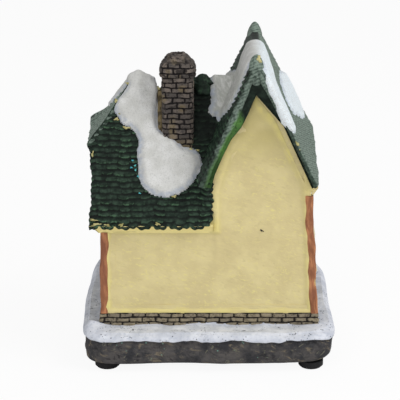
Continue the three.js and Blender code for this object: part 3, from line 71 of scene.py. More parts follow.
def scatter(*ids):
    """A repeatable value from 0 to 1 for each set of whole numbers: the broken part of a large sine."""
    total = sum(np.asarray(i, float) * k for i, k in zip(ids, (12.9898, 78.233, 37.719)))
    value = np.sin(total) * 43758.5453
    return value - np.floor(value)


def lumps(points, size, seed=0):
    """Smooth noise from -1 to 1 in space: scattered values at the corners of cubes of the given size,
    mixed by the smooth step of the place inside the cube."""
    grid = np.asarray(points, float) / size + seed * 17.3
    cell = np.floor(grid)
    part = grid - cell
    part = part * part * (3 - 2 * part)
    total = 0
    for corner in range(8):
        step = [(corner >> k) & 1 for k in range(3)]
        share = 1.0
        for k in range(3):
            share = share * (part[..., k] if step[k] else 1 - part[..., k])
        total = total + share * scatter(*(cell[..., k] + step[k] for k in range(3)))
    return 2 * total - 1


def crumple(points, size, octaves=3, seed=0):
    """Sum of lumps at halving sizes and heights."""
    return sum(lumps(points, size / 2**k, seed + k) / 2**k for k in range(octaves))


def ease(value, low, high):
    """Smooth step from 0 at low to 1 at high."""
    t = np.clip((value - low) / (high - low), 0, 1)
    return t * t * (3 - 2 * t)


def stack(*arrays):
    """Joins arrays of single parts, such as x, y and z, into one array of points."""
    return np.stack(np.broadcast_arrays(*arrays), axis=-1)


def turn_of(count):
    """Angles of a ring of that many points, as one row."""
    return np.linspace(0, 2 * math.pi, count + 1)[None, :-1]


def bell(x, y, middle, spread):
    """A smooth heap in plan, 1 at its middle: e to the minus sum of the squared shares of the spread."""
    return np.exp(-(((x - middle[0]) / spread[0]) ** 2) - ((y - middle[1]) / spread[1]) ** 2)


# Meshes from grids of points

def grid_faces(rows, columns, wrap_rows=False, wrap_columns=False):
    """Four corners of each cell of a grid, counted row by row."""
    i = np.arange(rows if wrap_rows else rows - 1)[:, None]
    j = np.arange(columns if wrap_columns else columns - 1)[None, :]
    below, right = (i + 1) % rows, (j + 1) % columns
    corners = [i * columns + j, i * columns + right, below * columns + right, below * columns + j]
    return np.stack(np.broadcast_arrays(*corners), axis=-1).reshape(-1, 4)


def edge_loop(rows, columns):
    """Grid numbers round the border, in one direction."""
    top = np.arange(columns)
    right = np.arange(1, rows) * columns + columns - 1
    bottom = (rows - 1) * columns + np.arange(columns - 2, -1, -1)
    left = np.arange(rows - 2, 0, -1) * columns
    return np.concatenate([top, right, bottom, left])


class Shell:
    """Points, faces and paint values collected for one closed piece."""

    def __init__(self):
        self.points, self.quads, self.triangles, self.values = [], [], [np.zeros((0, 3), int)], {}
        self.count = 0

    def add_grid(self, points, wrap_rows=False, wrap_columns=False, flip=False, keep=None, **values):
        """Adds a grid's points and the faces of its cells, and returns the number of its first point."""
        start = self.count
        faces = grid_faces(*points.shape[:2], wrap_rows, wrap_columns)
        if keep is not None:
            faces = faces[keep.reshape(-1)[faces].all(axis=1)]
        if flip:
            faces = faces[:, ::-1]
        self.quads.append(faces + start)
        self._take(points.reshape(-1, 3), values)
        return start

    def add_tube(self, points, flip=False, **values):
        """Adds a grid whose rows are closed rings, and closes the first and the last ring."""
        rows, columns = points.shape[:2]
        first = self.add_grid(points, wrap_columns=True, **values) + np.arange(columns)
        self.add_fan(first, flip)
        self.add_fan(first + (rows - 1) * columns, not flip)

    def add_fan(self, loop, flip=False):
        """Closes a loop of point numbers to its middle."""
        middle = np.concatenate(self.points)[loop].mean(axis=0)
        faces = np.stack([loop, np.roll(loop, -1), np.full(len(loop), self.count)], axis=-1)
        self._take(middle[None, :], {})
        self.triangles.append(faces[:, ::-1] if flip else faces)

    def add_skirt(self, loop, drop):
        """A wall from a loop down by a vector, closed below to its middle."""
        lower = np.concatenate(self.points)[loop] + np.asarray(drop, float)
        low = self.count + np.arange(len(loop))
        self._take(lower, {})
        self.quads.append(np.stack([loop, low, np.roll(low, -1), np.roll(loop, -1)], axis=-1))
        self.add_fan(low)

    def _take(self, points, values):
        """Keeps points with their paint values, which are nothing where they aren't given."""
        for name in {**self.values, **values}:
            given = values.get(name)
            kept = self.values.setdefault(name, [np.zeros(self.count)])
            kept.append(np.zeros(len(points)) if given is None else np.ravel(given))
        self.points.append(points)
        self.count += len(points)

    def finish(self, name, material, slot, replaces=(), body="house"):
        """Puts the collected arrays into a mesh and lets it ride on its body. All faces are turned over
        if the volume that they enclose comes out negative."""
        points, quads, triangles = (np.concatenate(a) for a in (self.points, self.quads, self.triangles))
        split = np.concatenate([quads[:, [0, 1, 2]], quads[:, [0, 2, 3]], triangles])
        a, b, c = (points[split[:, k]] for k in range(3))
        if np.einsum("ij,ij->i", a, np.cross(b, c)).sum() < 0:
            quads, triangles = quads[:, ::-1], triangles[:, ::-1]
        used = np.unique(np.concatenate([quads.reshape(-1), triangles.reshape(-1)]))
        renumber = np.zeros(len(points), int)
        renumber[used] = np.arange(len(used))
        faces = renumber[quads].tolist() + renumber[triangles].tolist()
        mesh = bpy.data.meshes.new(name)
        mesh.from_pydata((points[used] * MM).tolist(), [], faces)
        for key, arrays in self.values.items():
            attribute = mesh.attributes.new(key, "FLOAT", "POINT")
            attribute.data.foreach_set("value", np.concatenate(arrays)[used].astype(np.float32))
        mesh.polygons.foreach_set("use_smooth", np.ones(len(mesh.polygons), bool))
        mesh.materials.append(material)
        mesh.update()
        piece = bpy.data.objects.new(name, mesh)
        bpy.context.scene.collection.objects.link(piece)
        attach(piece, body)
        if replaces:
            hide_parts(*replaces)
        return piece


# Paint

WAVE_LENGTH = 0.314           # metres from band to band of a wave texture at scale 1
MIX_A, MIX_B, MIX_COLOR = 6, 7, 2      # the colour sockets of a Mix node


class Paint:
    """A procedural material: each method adds one node and returns its output. Colours are written as
    a screen shows them, from 0 to 255."""

    def __init__(self, name, color, roughness=0.7, metallic=0.0, gloss=0.25):
        self.material = bpy.data.materials.new(name)
        self.material.use_nodes = True
        self.tree = self.material.node_tree
        self.shader = self.tree.nodes["Principled BSDF"]
        for key, value in (("Base Color", color), ("Roughness", roughness), ("Metallic", metallic),
                           ("Specular IOR Level", gloss)):
            self.put(self.shader.inputs[key], value)
        self.place = self.node("TexCoord").outputs["Object"]

    def put(self, socket, value):
        """Links an output to a socket, or writes a number, a vector or a colour into it."""
        if isinstance(value, bpy.types.NodeSocket):
            self.tree.links.new(value, socket)
        elif socket.type == "RGBA":
            socket.default_value = (*tint(*value), 1)
        else:
            socket.default_value = value

    def node(self, kind, **inputs):
        """Adds a node and fills its inputs, whose names have _ for a space."""
        node = self.tree.nodes.new("ShaderNode" + kind)
        for key, value in inputs.items():
            self.put(node.inputs[key.replace("_", " ")], value)
        return node

    def along(self, direction, stretch):
        """Places drawn out along a direction, so that noise on them makes strokes that way."""
        turn = mathutils.Vector(direction).to_track_quat("X", "Z").to_euler()
        node = self.node("Mapping", Vector=self.place, Rotation=turn, Scale=(stretch, 1, 1))
        node.vector_type = "TEXTURE"
        return node.outputs["Vector"]

    def noise(self, size, detail=3.0, rough=0.55, vector=None, twist=0.0):
        """Cloudy noise whose lumps are about size millimetres."""
        node = self.node("TexNoise", Vector=vector or self.place, Scale=1 / (size * MM), Detail=detail,
                         Roughness=rough, Distortion=twist)
        return node.outputs["Fac"]

    def cells(self, size):
        """Distance to the nearest of scattered points, about size millimetres apart."""
        return self.node("TexVoronoi", Vector=self.place, Scale=1 / (size * MM)).outputs["Distance"]

    def bands(self, direction, period, twist):
        """Soft stripes that follow each other along a direction, a period apart, bent by noise."""
        node = self.node("TexWave", Vector=self.along(direction, 1.0), Scale=WAVE_LENGTH / (period * MM),
                         Distortion=twist, Detail=2.0, Detail_Scale=1.6)
        node.bands_direction = "X"
        return node.outputs["Fac"]

    def value(self, name):
        """A value that the piece's mesh carries at each point."""
        node = self.node("Attribute")
        node.attribute_name = name
        return node.outputs["Fac"]

    def step(self, value, low, high, to_low=0.0, to_high=1.0):
        """Smooth step from one range to another."""
        node = self.node("MapRange", Value=value, From_Min=low, From_Max=high, To_Min=to_low, To_Max=to_high)
        node.interpolation_type = "SMOOTHSTEP"
        return node.outputs["Result"]

    def maths(self, operation, a, b):
        node = self.node("Math")
        node.operation = operation
        self.put(node.inputs[0], a)
        self.put(node.inputs[1], b)
        return node.outputs[0]

    def times(self, a, b):
        return self.maths("MULTIPLY", a, b)

    def plus(self, a, b):
        return self.maths("ADD", a, b)

    def mix(self, share, a, b):
        """Colour a, with a share of colour b over it."""
        node = self.node("Mix")
        node.data_type = "RGBA"
        self.put(node.inputs[0], share)
        self.put(node.inputs[MIX_A], a)
        self.put(node.inputs[MIX_B], b)
        return node.outputs[MIX_COLOR]

    def color(self, output):
        self.put(self.shader.inputs["Base Color"], output)

    def bump(self, height, strength, depth_mm):
        node = self.node("Bump", Strength=strength, Distance=depth_mm * MM, Height=height)
        self.put(self.shader.inputs["Normal"], node.outputs["Normal"])


def tint(red, green, blue):
    """A screen colour of 0 to 255 as the linear values that a shader takes, by the sRGB curve."""
    share = np.array([red, green, blue]) / 255
    linear = np.where(share <= 0.04045, share / 12.92, ((share + 0.055) / 1.055) ** 2.4)
    return tuple(float(x) for x in linear)


def snow_paint():
    """Roof snow: soft white with a fine grain, grey strokes of painted shade in the valley east of the
    gable, a brighter bluish white of painted light where it faces west, and bluish at its rim."""
    p = Paint("snow_paint", (206, 206, 203), 0.9, gloss=0.1)
    grain = p.noise(0.42, 2, 0.7)
    base = p.mix(p.step(p.noise(5, 3), 0.35, 0.7), (200, 200, 196), (216, 216, 214))
    base = p.mix(p.step(grain, 0.5, 0.7, 0, 0.6), base, (168, 169, 167))
    strokes = p.noise(1.3, 3, 0.6, p.along((0.35, -0.3, 0.9), 2.5))
    # Painted shade: grey strokes over the snow in the valley, east of the gable's ridge.
    base = p.mix(p.times(p.value("grey"), p.step(strokes, 0.35, 0.6, 0.25, 0.95)), base, (170, 172, 166))
    # Painted light: a brighter bluish white on the snow west of the gable's ridge, as if a light fell on it
    # from that side.
    base = p.mix(p.times(p.value("cool"), p.step(grain, 0.72, 0.4)), base, (222, 232, 238))
    edge = p.times(p.value("rim"), p.step(p.noise(1.8, 3), 0.34, 0.66, 0.1, 0.75))
    base = p.mix(edge, base, (166, 175, 190))
    p.color(base)
    p.bump(p.plus(grain, p.noise(1.6, 2)), 0.7, 0.35)
    return p.material


def ground_snow_paint():
    """Snow on the base: bluish white, streaked and sprinkled with dark specks and smudges."""
    p = Paint("ground_snow_paint", (204, 207, 215), 0.9, gloss=0.1)
    base = p.mix(p.step(p.noise(7, 3), 0.35, 0.68), (190, 194, 204), (214, 217, 225))
    base = p.mix(p.step(p.noise(1.3, 3), 0.46, 0.78, 0, 0.5), base, (158, 166, 182))
    streak = p.noise(3.4, 4, 0.65, p.along((1, 0.2, 0), 2.0))
    base = p.mix(p.step(streak, 0.6, 0.72, 0, 0.5), base, (150, 156, 168))
    fine = p.times(p.step(p.cells(1.3), 0.26, 0.14), p.step(p.noise(9, 2), 0.46, 0.56))
    base = p.mix(fine, base, (80, 86, 98))
    smudge = p.noise(1.9, 4, 0.7, p.along((1, 0.3, 0), 1.8))
    blots = p.times(p.step(smudge, 0.62, 0.66), p.step(p.noise(15, 2), 0.48, 0.56))
    base = p.mix(blots, base, (58, 60, 66))
    p.color(base)
    p.bump(p.noise(0.9, 3), 0.6, 0.35)
    return p.material


def wall_paint(name, light=1.0):
    """Cream wall paint laid on in short yellow dabs, brighter at the rims of the panels."""
    def of(red, green, blue):
        return red * light, green * light, blue * light

    p = Paint(name, of(212, 199, 146), 0.7, gloss=0.15)
    dabs = p.noise(0.9, 3, 0.65, p.along((1, 0, 0.25), 2.4), 0.9)
    cross = p.noise(2.1, 4, 0.65, p.along((1, 0, 0.3), 2.2), 0.7)
    where = p.step(p.noise(14, 2), 0.36, 0.62, 0.3, 0.85)
    base = p.mix(p.step(p.noise(11, 3), 0.35, 0.68), of(202, 187, 139), of(213, 199, 148))
    base = p.mix(p.step(cross, 0.46, 0.3, 0, 0.45), base, of(190, 176, 131))
    base = p.mix(p.times(p.step(dabs, 0.52, 0.7), where), base, of(220, 208, 140))
    base = p.mix(p.value("rim"), base, of(220, 206, 132))
    base = p.mix(p.value("shade"), base, of(176, 163, 106))
    p.color(base)
    p.bump(p.plus(dabs, cross), 0.4, 0.25)
    return p.material


def shingle_paint():
    """Dark green, lighter where a shingle's lip is worn, grey-green strokes where it is dusted with snow,
    fresh green where paint was smeared on, and near black where shade is painted in: under the lips, in the
    grooves, beside the chimney and under the gable's nub."""
    p = Paint("shingle_paint", (30, 44, 35), 0.6, gloss=0.14)
    wear = p.noise(1.2, 3)
    base = p.mix(p.step(p.noise(2.2, 3), 0.38, 0.66), (19, 31, 24), (45, 61, 50))
    base = p.mix(p.times(p.value("edge"), p.step(wear, 0.38, 0.6)), base, (76, 108, 80))
    # Painted shade: near black where the deep value is high.
    base = p.mix(p.value("deep"), base, (6, 11, 8))
    strokes = p.bands((0.355, -0.414, 0.838), 1.15, 3.0)
    faint = p.plus(p.times(strokes, 0.2), p.noise(1.1, 4, 0.65))
    grey = p.mix(p.step(faint, 0.34, 0.74), (62, 76, 67), (130, 145, 134))
    # The painted shade darkens the dusted grey as well.
    grey = p.mix(p.value("deep"), grey, (28, 38, 32))
    base = p.mix(p.value("dust"), base, grey)
    base = p.mix(p.times(p.value("fresh"), p.step(wear, 0.25, 0.5)), base, (90, 134, 68))
    p.color(base)
    p.bump(p.plus(p.noise(0.7, 3), p.times(strokes, 0.2)), 0.5, 0.35)
    return p.material


def brick_paint(name, brick, pale, joint):
    """Bricks that differ in tone, with tan ones among them and dark joints."""
    p = Paint(name, brick, 0.8, gloss=0.15)
    base = p.mix(p.times(p.value("tone"), p.step(p.noise(2.5, 3), 0.3, 0.6)), brick, pale)
    base = p.mix(p.step(p.noise(0.9, 3), 0.5, 0.72, 0, 0.7), base, joint)
    base = p.mix(p.value("tan"), base, (122, 108, 78))
    base = p.mix(p.value("deep"), base, joint)
    p.color(base)
    p.bump(p.noise(0.6, 3), 0.6, 0.3)
    return p.material


def rock_paint():
    """Near-black rock, dry-brushed with tan, with a few green flecks."""
    p = Paint("rock_paint", (66, 65, 66), 0.75, gloss=0.2)
    base = p.mix(p.step(p.noise(7, 4, 0.65), 0.38, 0.62), (50, 50, 53), (80, 77, 76))
    brushed = p.noise(2.6, 5, 0.68, p.along((1, 0.4, 0.25), 2.6), 0.5)
    base = p.mix(p.step(brushed, 0.54, 0.68, 0, 0.85), base, (118, 108, 92))
    base = p.mix(p.step(brushed, 0.45, 0.32, 0, 0.9), base, (34, 33, 36))
    scratch = p.noise(1.7, 3, 0.6, p.along((1, 1, -0.6), 4.0), 0.6)
    base = p.mix(p.step(scratch, 0.62, 0.7, 0, 0.5), base, (124, 122, 104))
    fleck = p.step(p.cells(2.6), 0.16, 0.08, 0, 0.7)
    base = p.mix(p.times(fleck, p.step(p.noise(12, 2), 0.52, 0.6)), base, (110, 150, 136))
    p.color(base)
    p.bump(p.noise(1.8, 5, 0.68), 0.8, 0.7)
    return p.material


def timber_paint():
    """Red-brown timber with streaks along the grain."""
    p = Paint("timber_paint", (146, 92, 62), 0.6, gloss=0.25)
    streak = p.noise(1.6, 4, 0.6, p.along((0.1, 0, 1), 5.0), 0.5)
    base = p.mix(p.step(streak, 0.38, 0.64), (134, 85, 58), (180, 122, 84))
    base = p.mix(p.step(streak, 0.64, 0.74, 0, 0.7), base, (196, 140, 92))
    base = p.mix(p.step(p.noise(13, 2), 0.5, 0.66, 0, 0.5), base, (122, 74, 56))
    p.color(base)
    p.bump(streak, 0.6, 0.4)
    return p.material


def plain_paint(name, color, dark, roughness=0.6, grain=1.2, depth=0.15, metallic=0.0, gloss=0.3):
    """Even paint or plastic with a faint grain and slightly darker clouds."""
    p = Paint(name, color, roughness, metallic, gloss)
    cloud = p.mix(p.step(p.noise(grain * 4, 3), 0.35, 0.65), dark, color)
    p.color(cloud)
    p.bump(p.noise(grain, 3), 0.35, depth)
    return p.material


SNOW = snow_paint()
GROUND_SNOW = ground_snow_paint()
WALL = wall_paint("wall_paint")
# Painted light: the cornices get a lighter copy of the wall paint, to make up for the shadow under the
# eaves.
LIT_MOULDING = wall_paint("lit_moulding_paint", 1.09)
SHINGLE = shingle_paint()
CHIMNEY = brick_paint("chimney_brick_paint", (74, 69, 66), (114, 104, 96), (20, 17, 18))
PLINTH = brick_paint("plinth_brick_paint", (124, 115, 99), (162, 152, 131), (26, 24, 24))
ROCK = rock_paint()
TIMBER = timber_paint()
RUBBER = plain_paint("foot_rubber", (24, 24, 25), (16, 16, 17), 0.75, 0.8)
BLACK_PLASTIC = plain_paint("black_plastic", (30, 30, 32), (22, 22, 24), 0.5, 0.4, 0.05)
FRAME_PAINT = plain_paint("frame_paint", (232, 226, 208), (212, 204, 184), 0.6)
DOOR_PAINT = plain_paint("door_paint", (118, 66, 44), (92, 50, 34), 0.55)
WREATH_PAINT = plain_paint("wreath_paint", (52, 98, 58), (28, 62, 36), 0.7, 0.5, 0.3)
CREAM = plain_paint("cream_paint", (190, 182, 132), (146, 138, 86), 0.7, 0.7, 0.2, gloss=0.15)
DARK_DROP = plain_paint("dark_drop_paint", (58, 52, 40), (40, 36, 30), 0.6, 0.5, 0.1)
FLECK = plain_paint("glitter_paint", (120, 214, 200), (70, 170, 190), 0.35, 0.4, 0.05)
AMBER_PANE = plain_paint("amber_pane", (246, 214, 130), (236, 196, 104), 0.3, 2.0, 0.1)
LENS = plain_paint("lamp_lens", (247, 240, 214), (238, 228, 196), 0.12, 2.0, 0.02)
RED_WIRE = plain_paint("red_insulation", (182, 36, 32), (160, 28, 26), 0.4, 0.6, 0.03)
BLACK_WIRE = plain_paint("black_insulation", (28, 28, 28), (20, 20, 20), 0.4, 0.6, 0.03)
STEEL = plain_paint("plated_steel", (190, 192, 196), (168, 170, 174), 0.3, 0.5, 0.02, 1.0)
BRASS = plain_paint("gold_paint", (196, 156, 84), (168, 130, 64), 0.35, 0.5, 0.03, 1.0)


# Roof forms

def wall_reach(side, z):
    """Distance of a side wall from the middle, on the side of the given sign."""
    return HALF_WIDTH - np.where(np.asarray(side) > 0, EAST_LEAN, WEST_LEAN) * (z - PLINTH_TOP)


def gable_axis(y):
    """The cross gable's ridge drifts 1 mm to the west on its way to the front."""
    return GABLE_X - (GABLE_BACK_Y - y) / (GABLE_BACK_Y - GABLE_FRONT_Y)


def gable_level(t):
    """The height at a share t of the way down the gable, from its ridge to its eave."""
    return GABLE_RIDGE_Z - GABLE_FALL * t


def gable_half(z, side):
    """Half-width of the cross gable's slope at a height, before its lift towards the front: it grows
    with the way down to the power of its bend."""
    t = np.clip((GABLE_RIDGE_Z - z) / GABLE_FALL, 0, 1.3)
    reach = np.where(side > 0, GABLE_EAST, GABLE_WEST)
    return GABLE_TOP + (reach - GABLE_TOP) * t**GABLE_BEND


def gable_lift(y, t):
    """How far a level of the gable, t of the way down, is raised at y: nothing at the back."""
    forward = (GABLE_BACK_Y - y) / (GABLE_BACK_Y - GABLE_FRONT_Y)
    return GABLE_LIFT * forward * np.clip(t, 0, 1)


def shingles(along, down, seed, lap=SHINGLE_LAP):
    """Height and paint values of hand-cut shingles. Down the slope each row rises by the lap and drops at
    its lip. Each shingle has its own length, thickness and tilt; a groove parts neighbours, and corners
    are cut round."""
    sag = 0.22 * np.sin(along * 0.31 + seed) + 0.16 * np.sin(along * 0.83 + 2 * seed)
    rows = (down + sag) / SHINGLE_ROW
    index = np.floor(rows)
    place = along / SHINGLE_WIDTH + scatter(index, seed) + index % 2 / 2
    tile = np.floor(place)
    across = place - tile
    own = scatter(tile, index, seed)
    other = scatter(tile, index, seed + 7)
    corner = np.abs(2 * across - 1) ** 4
    lip = 1 - 0.2 * corner - 0.26 * other - 0.12 * (across - 0.5) * (own - 0.5)
    frac = rows - index
    on_row = frac < lip
    height = np.where(on_row, lap * (frac / lip) ** 0.85, lap * 0.1) - lap
    groove = ease(corner, 0.62, 1.0)
    thick = 0.4 * (own - 0.5) + 0.4 * (across - 0.5) * (other - 0.5)
    height = height + (thick - 0.36 * groove) * on_row * frac
    edge = on_row * ease(frac / lip, 0.5, 0.95) * own**1.6 * (1 - 0.7 * groove)
    # deep is painted shade: dark just below each row's lip, where the next row lies lower, and in the
    # grooves between shingles.
    deep = np.where(on_row, np.maximum(ease(frac, 0.34, 0.04), 0.85 * groove), 1.0) * (0.7 + 0.3 * other)
    return height, edge, deep


def dent(x, y):
    """Depth of the dip in the main ridge beside the chimney: a bell curve in plan."""
    return 4.6 * np.exp(-(((x - 20.2) / 1.3) ** 4) - ((y - MIDDLE_Y) / 4.5) ** 2)


def sculpted(points):
    """Hand-cast unevenness of the main roof: the dip in its ridge, the half-hip's front corner flaring up,
    its lower edge flaring out, the slope's west end brought forward over the wall's corner, and the eaves'
    lower edge wavering."""
    x, y, z = points[..., 0], points[..., 1], points[..., 2]
    proud = np.maximum(BACK_Y + 1.1 - y, 0) * ease(x, 4.5, 0.6) * ease(z, 79, 76) * (y > MIDDLE_Y)
    flare = 3.2 * bell(x, y, (48.3, -10.5), (6, 6))
    out = 1.0 * ease(x, 41, 47) * ease(z, 85.5, 88)
    ragged = (0.3 * np.sin(x * 0.9) + 0.22 * np.sin(x * 2.1 + y)) * ease(z, 62, 59.4)
    return points + stack(out, proud, flare - dent(x, y) + ragged)


def slope_piece(left, right, length, origin, across, downward, outward, seed, meet, columns,
                lap=SHINGLE_LAP, dust=0.0, gloom=1.0):
    """One plane slope as a slab: a grid from its left to its right edge and from its ridge down, raised
    by the shingles. They fade out at the ridge and where meet, the distance to the next slope, ends."""
    v = np.linspace(0, length, int(length / SLOPE_STEP))[:, None]
    low, high = left(v), right(v)
    u = low + (high - low) * np.linspace(0, 1, columns)[None, :]
    v = v + 0 * u
    height, edge, deep = shingles(u, v, seed, lap)
    fade = ease(meet(u, v), 0.1, 1.1)
    place = origin + u[..., None] * across + v[..., None] * downward
    rough = crumple(place, 6, 3, seed) * 0.16 + lumps(place, 1.1, seed) * 0.06
    height = (height * 0.95 + rough) * fade * ease(v, 0.0, 1.2)
    points = sculpted(place + height[..., None] * outward)
    x, y, z = (points[..., k] for k in range(3))
    # Painted shadow: the back slope is darkened near the ridge, between the chimney and the valley.
    painted_shade_by_chimney = ease(x, -9, -1) * ease(x, 10, 6) * ease(z, 78, 92) * (y > MIDDLE_Y)
    deep = np.maximum(deep, 0.8 * painted_shade_by_chimney) * fade * gloom
    shell = Shell()
    shell.add_grid(points, edge=edge * fade, deep=deep, dust=dust + 0 * u, fresh=0 * u)
    shell.add_skirt(edge_loop(*u.shape), -ROOF_THICKNESS * outward)
    return shell


def build_main_roof():
    """The back and front slopes and the half-hip at the east end. The slopes' lower edges are hand-cut
    lines; in the west they stop short of the gable below and run under it above."""
    length = math.hypot(EAVE_RUN, RIDGE_Z - EAVE_Z)
    run, rise = EAVE_RUN / length, (RIDGE_Z - EAVE_Z) / length
    hip_fall = RIDGE_Z - HIP_EAVE_Z
    east_z = [58, 64, 67, 72, 77.5, 80, 85, 88]
    east_cut = [-0.3, -0.3, -1.1, -0.8, -1.2, -0.5, -0.3, 0.0]

    def height_at(v):
        return RIDGE_Z - rise * v

    def east_edge(v):
        z = height_at(v)
        wave = 0.15 * np.sin(v * 2.6) + np.interp(z, east_z, east_cut)
        return VERGE_X - HIP_RUN / hip_fall * np.maximum(z - HIP_EAVE_Z, 0) + wave * ease(z, 88, 86)

    def west_edge(v):
        z = height_at(v)
        buried = GABLE_X + gable_half(z, 1) - 2.5
        corner = 3.2 * (1 - np.sqrt(1 - np.clip((63.2 - z) / 4.3, 0, 1) ** 2))
        wave = 0.3 * np.sin(v * 2.3) + 0.25 * np.sin(v * 0.9 + 1)
        return (-1.3 - wave + corner) * ease(z, 80, 76) + buried * ease(z, 76, 80)

    def from_hip(u, v):
        return np.where(height_at(v) > HIP_EAVE_Z, east_edge(v) - u, 9.0)

    for name, side, seed in (("back", 1, 1.0), ("front", -1, 5.0)):
        slope = slope_piece(
            west_edge, east_edge, length, np.array([0, MIDDLE_Y, RIDGE_Z]), np.array([1.0, 0, 0]),
            np.array([0, side * run, -rise]), np.array([0, side * rise, run]), seed, from_hip, 190,
        )
        slope.finish(f"main_roof_{name}_slope", SHINGLE, "shingle")
    hip_length = math.hypot(HIP_RUN, hip_fall)
    hip_run, hip_rise = HIP_RUN / hip_length, hip_fall / hip_length

    def hip_half(v):
        return EAVE_RUN * hip_rise * v / (RIDGE_Z - EAVE_Z)

    hip = slope_piece(
        lambda v: -hip_half(v), hip_half, hip_length,
        np.array([VERGE_X - HIP_RUN, MIDDLE_Y, RIDGE_Z]), np.array([0, 1.0, 0]),
        np.array([hip_run, 0, -hip_rise]), np.array([hip_rise, 0, hip_run]), 9.0,
        lambda u, v: hip_half(v) - np.abs(u), 110, lap=0.35, dust=1.0, gloom=0.15,
    )
    piece = hip.finish("main_roof_half_hip", SHINGLE, "shingle")
    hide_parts("main_roof")


# The yellow gable's edges under the roof: distance from the gable's middle, and height
WALL_TIP, WALL_FOOT = 112.2, 74.2
WALL_EAST_LINE = ([0, 3.2, 5.7, 9.6, 12.8, 15.9, 17.4], [WALL_TIP, 104.4, 99.3, 94.3, 87.6, 80.1, WALL_FOOT])
WALL_WEST_LINE = ([0, 10.7, 22.3], [WALL_TIP, 99.8, WALL_FOOT])


def gable_inner(side, t):
    """The yellow gable's edge under the roof, by share of the way down from its tip to its foot."""
    xs, zs = WALL_EAST_LINE if side > 0 else WALL_WEST_LINE
    z = WALL_TIP + (WALL_FOOT - WALL_TIP) * t
    return np.interp(-z, [-level for level in zs], xs), z


def build_gable_roof():
    """The cross gable's roof as a loop carried round its outline. Across the outline the loop runs over
    the shingles, down the back edge face, back underneath and up the front edge face. Each face has a
    ribbed roll along its outer edge and a flat band inside it."""
    s = np.linspace(-1, 1, 420)[:, None]
    side, t = np.sign(s), np.abs(s)
    z_out = gable_level(t) + 2.4 * ease(t, 0.05, 0.0)
    x_out = gable_half(gable_level(t), side) * ease(t, -0.012, 0.05)
    x_in, z_in = np.where(side >= 0, gable_inner(1, t), gable_inner(-1, t))
    over = np.linspace(GABLE_FRONT_Y, GABLE_BACK_Y, 150)
    face = np.linspace(0, 1, 30)[1:-1]
    under = over[::-1][::30]
    on_top, on_back, below, on_front = range(4)
    stretches = [(on_top, over, 0 * over), (on_back, GABLE_BACK_Y + 0 * face, face),
                 (below, under, 1 + 0 * under), (on_front, GABLE_FRONT_Y + 0 * face, face[::-1])]
    loop = np.concatenate([np.stack(np.broadcast_arrays(*row)) for row in stretches], axis=1)
    kind, y, inward = (row[None, :] + 0 * s for row in loop)
    x = side * (x_out + (x_in - x_out) * inward)
    z = z_out + (z_in - z_out) * inward + gable_lift(y, t)
    place = stack(x, y, z)

    # The shingles, worn away on the west slope
    slope = math.hypot(GABLE_EAST - GABLE_TOP, GABLE_FALL)
    height, edge, deep = shingles(y, t * slope + 0 * y, 3.0)
    worn = ease(s, 0.0, -0.02)
    height, edge, deep = height * (1 - 0.6 * worn), edge * (1 - 0.8 * worn), deep * (1 - 0.75 * worn)
    top = kind == on_top
    outer = top * ease(t, 0.03, 0.08)
    near_end = np.minimum(y - GABLE_FRONT_Y, GABLE_BACK_Y - y)
    lift = height * outer + crumple(place, 5, 3, 2) * 0.2 * (kind < below)
    lift = lift + (0.75 - 0.35 * np.exp(-near_end / 0.5)) * top
    x = x + lift * 0.92 * side
    z = z + lift * 0.39

    # The edge faces: a ribbed roll and, inside it, a sunk band with a jagged lip at the outer edge
    face_on = (kind == on_back) | (kind == on_front)
    width = np.maximum(np.hypot(x_out - x_in, z_out - z_in), 0.5)
    roll = np.minimum(0.62 * width, 4.4)
    from_edge = inward * width
    ribs = np.sin((z * 0.55 + side * x * 0.75 + 1.1 * lumps(place, 3, 6)) * 2 * math.pi / 1.7)
    ribs = 0.3 * ribs + 1.1 * lumps(place, 1.2, 16)
    on_roll = ease(from_edge, roll + 0.6, roll - 0.3) * face_on
    lip = ease(from_edge, 1.3, 0.7) * face_on
    jagged = lumps(place, 1.2, 4)
    bulge = 1.1 * np.sqrt(np.clip(1 - (2 * from_edge / roll - 1) ** 2, 0, 1)) + 0.1 * ribs
    out_y = np.where(kind == on_back, 1, -1) * face_on
    y = y + out_y * (bulge * on_roll - 1.2 * (1 - on_roll) + 0.4 * lip * jagged)

    # Paint: snow dust on the roll and the worn slope, fading low down, and a green smear on the east
    dust = np.maximum(0.7 * on_roll, 0.78 * worn * top)
    dust = dust * (1 - 0.75 * lip * ease(jagged, 0.5, -0.2))
    dust = dust * (1 - 0.75 * (s > 0) * face_on * ease(t, 0.6, 0.8))
    dust = dust * (1 - 0.75 * (s < 0) * face_on * ease(t, 0.25, 0.4))
    spot = 0.5 + 0.5 * lumps(place, 2.6, 4)
    smear = (s > 0.2) * (kind == on_back) * ease(from_edge + 0.8 * spot, roll - 1.7, roll + 0.4)
    smear = smear * ease(t, 0.24, 0.34) * (0.6 + 0.6 * spot) * (0.45 + 0.55 * ease(t, 0.85, 0.6))
    # Painted shade on the edge faces: dark in the creases between the roll's ribs, and on the inner band
    # near the top, under the ridge's nub.
    tick = ease(-ribs, 0.0, 0.9)
    deep = np.where(top, deep, 0.5 * tick * on_roll + 0.35 * (1 - on_roll) * ease(t, 0.55, 0.3))
    edge = np.where(top, edge * outer, 0.15 * on_roll * ease(ribs, 0.2, 0.9))
    shell = Shell()
    points = stack(gable_axis(y) + x, y, z)
    shell.add_tube(points, edge=edge, deep=deep, dust=dust, fresh=np.clip(smear, 0, 1))
    shell.finish("gable_roof_shingled", SHINGLE, "shingle", ["gable_roof"])


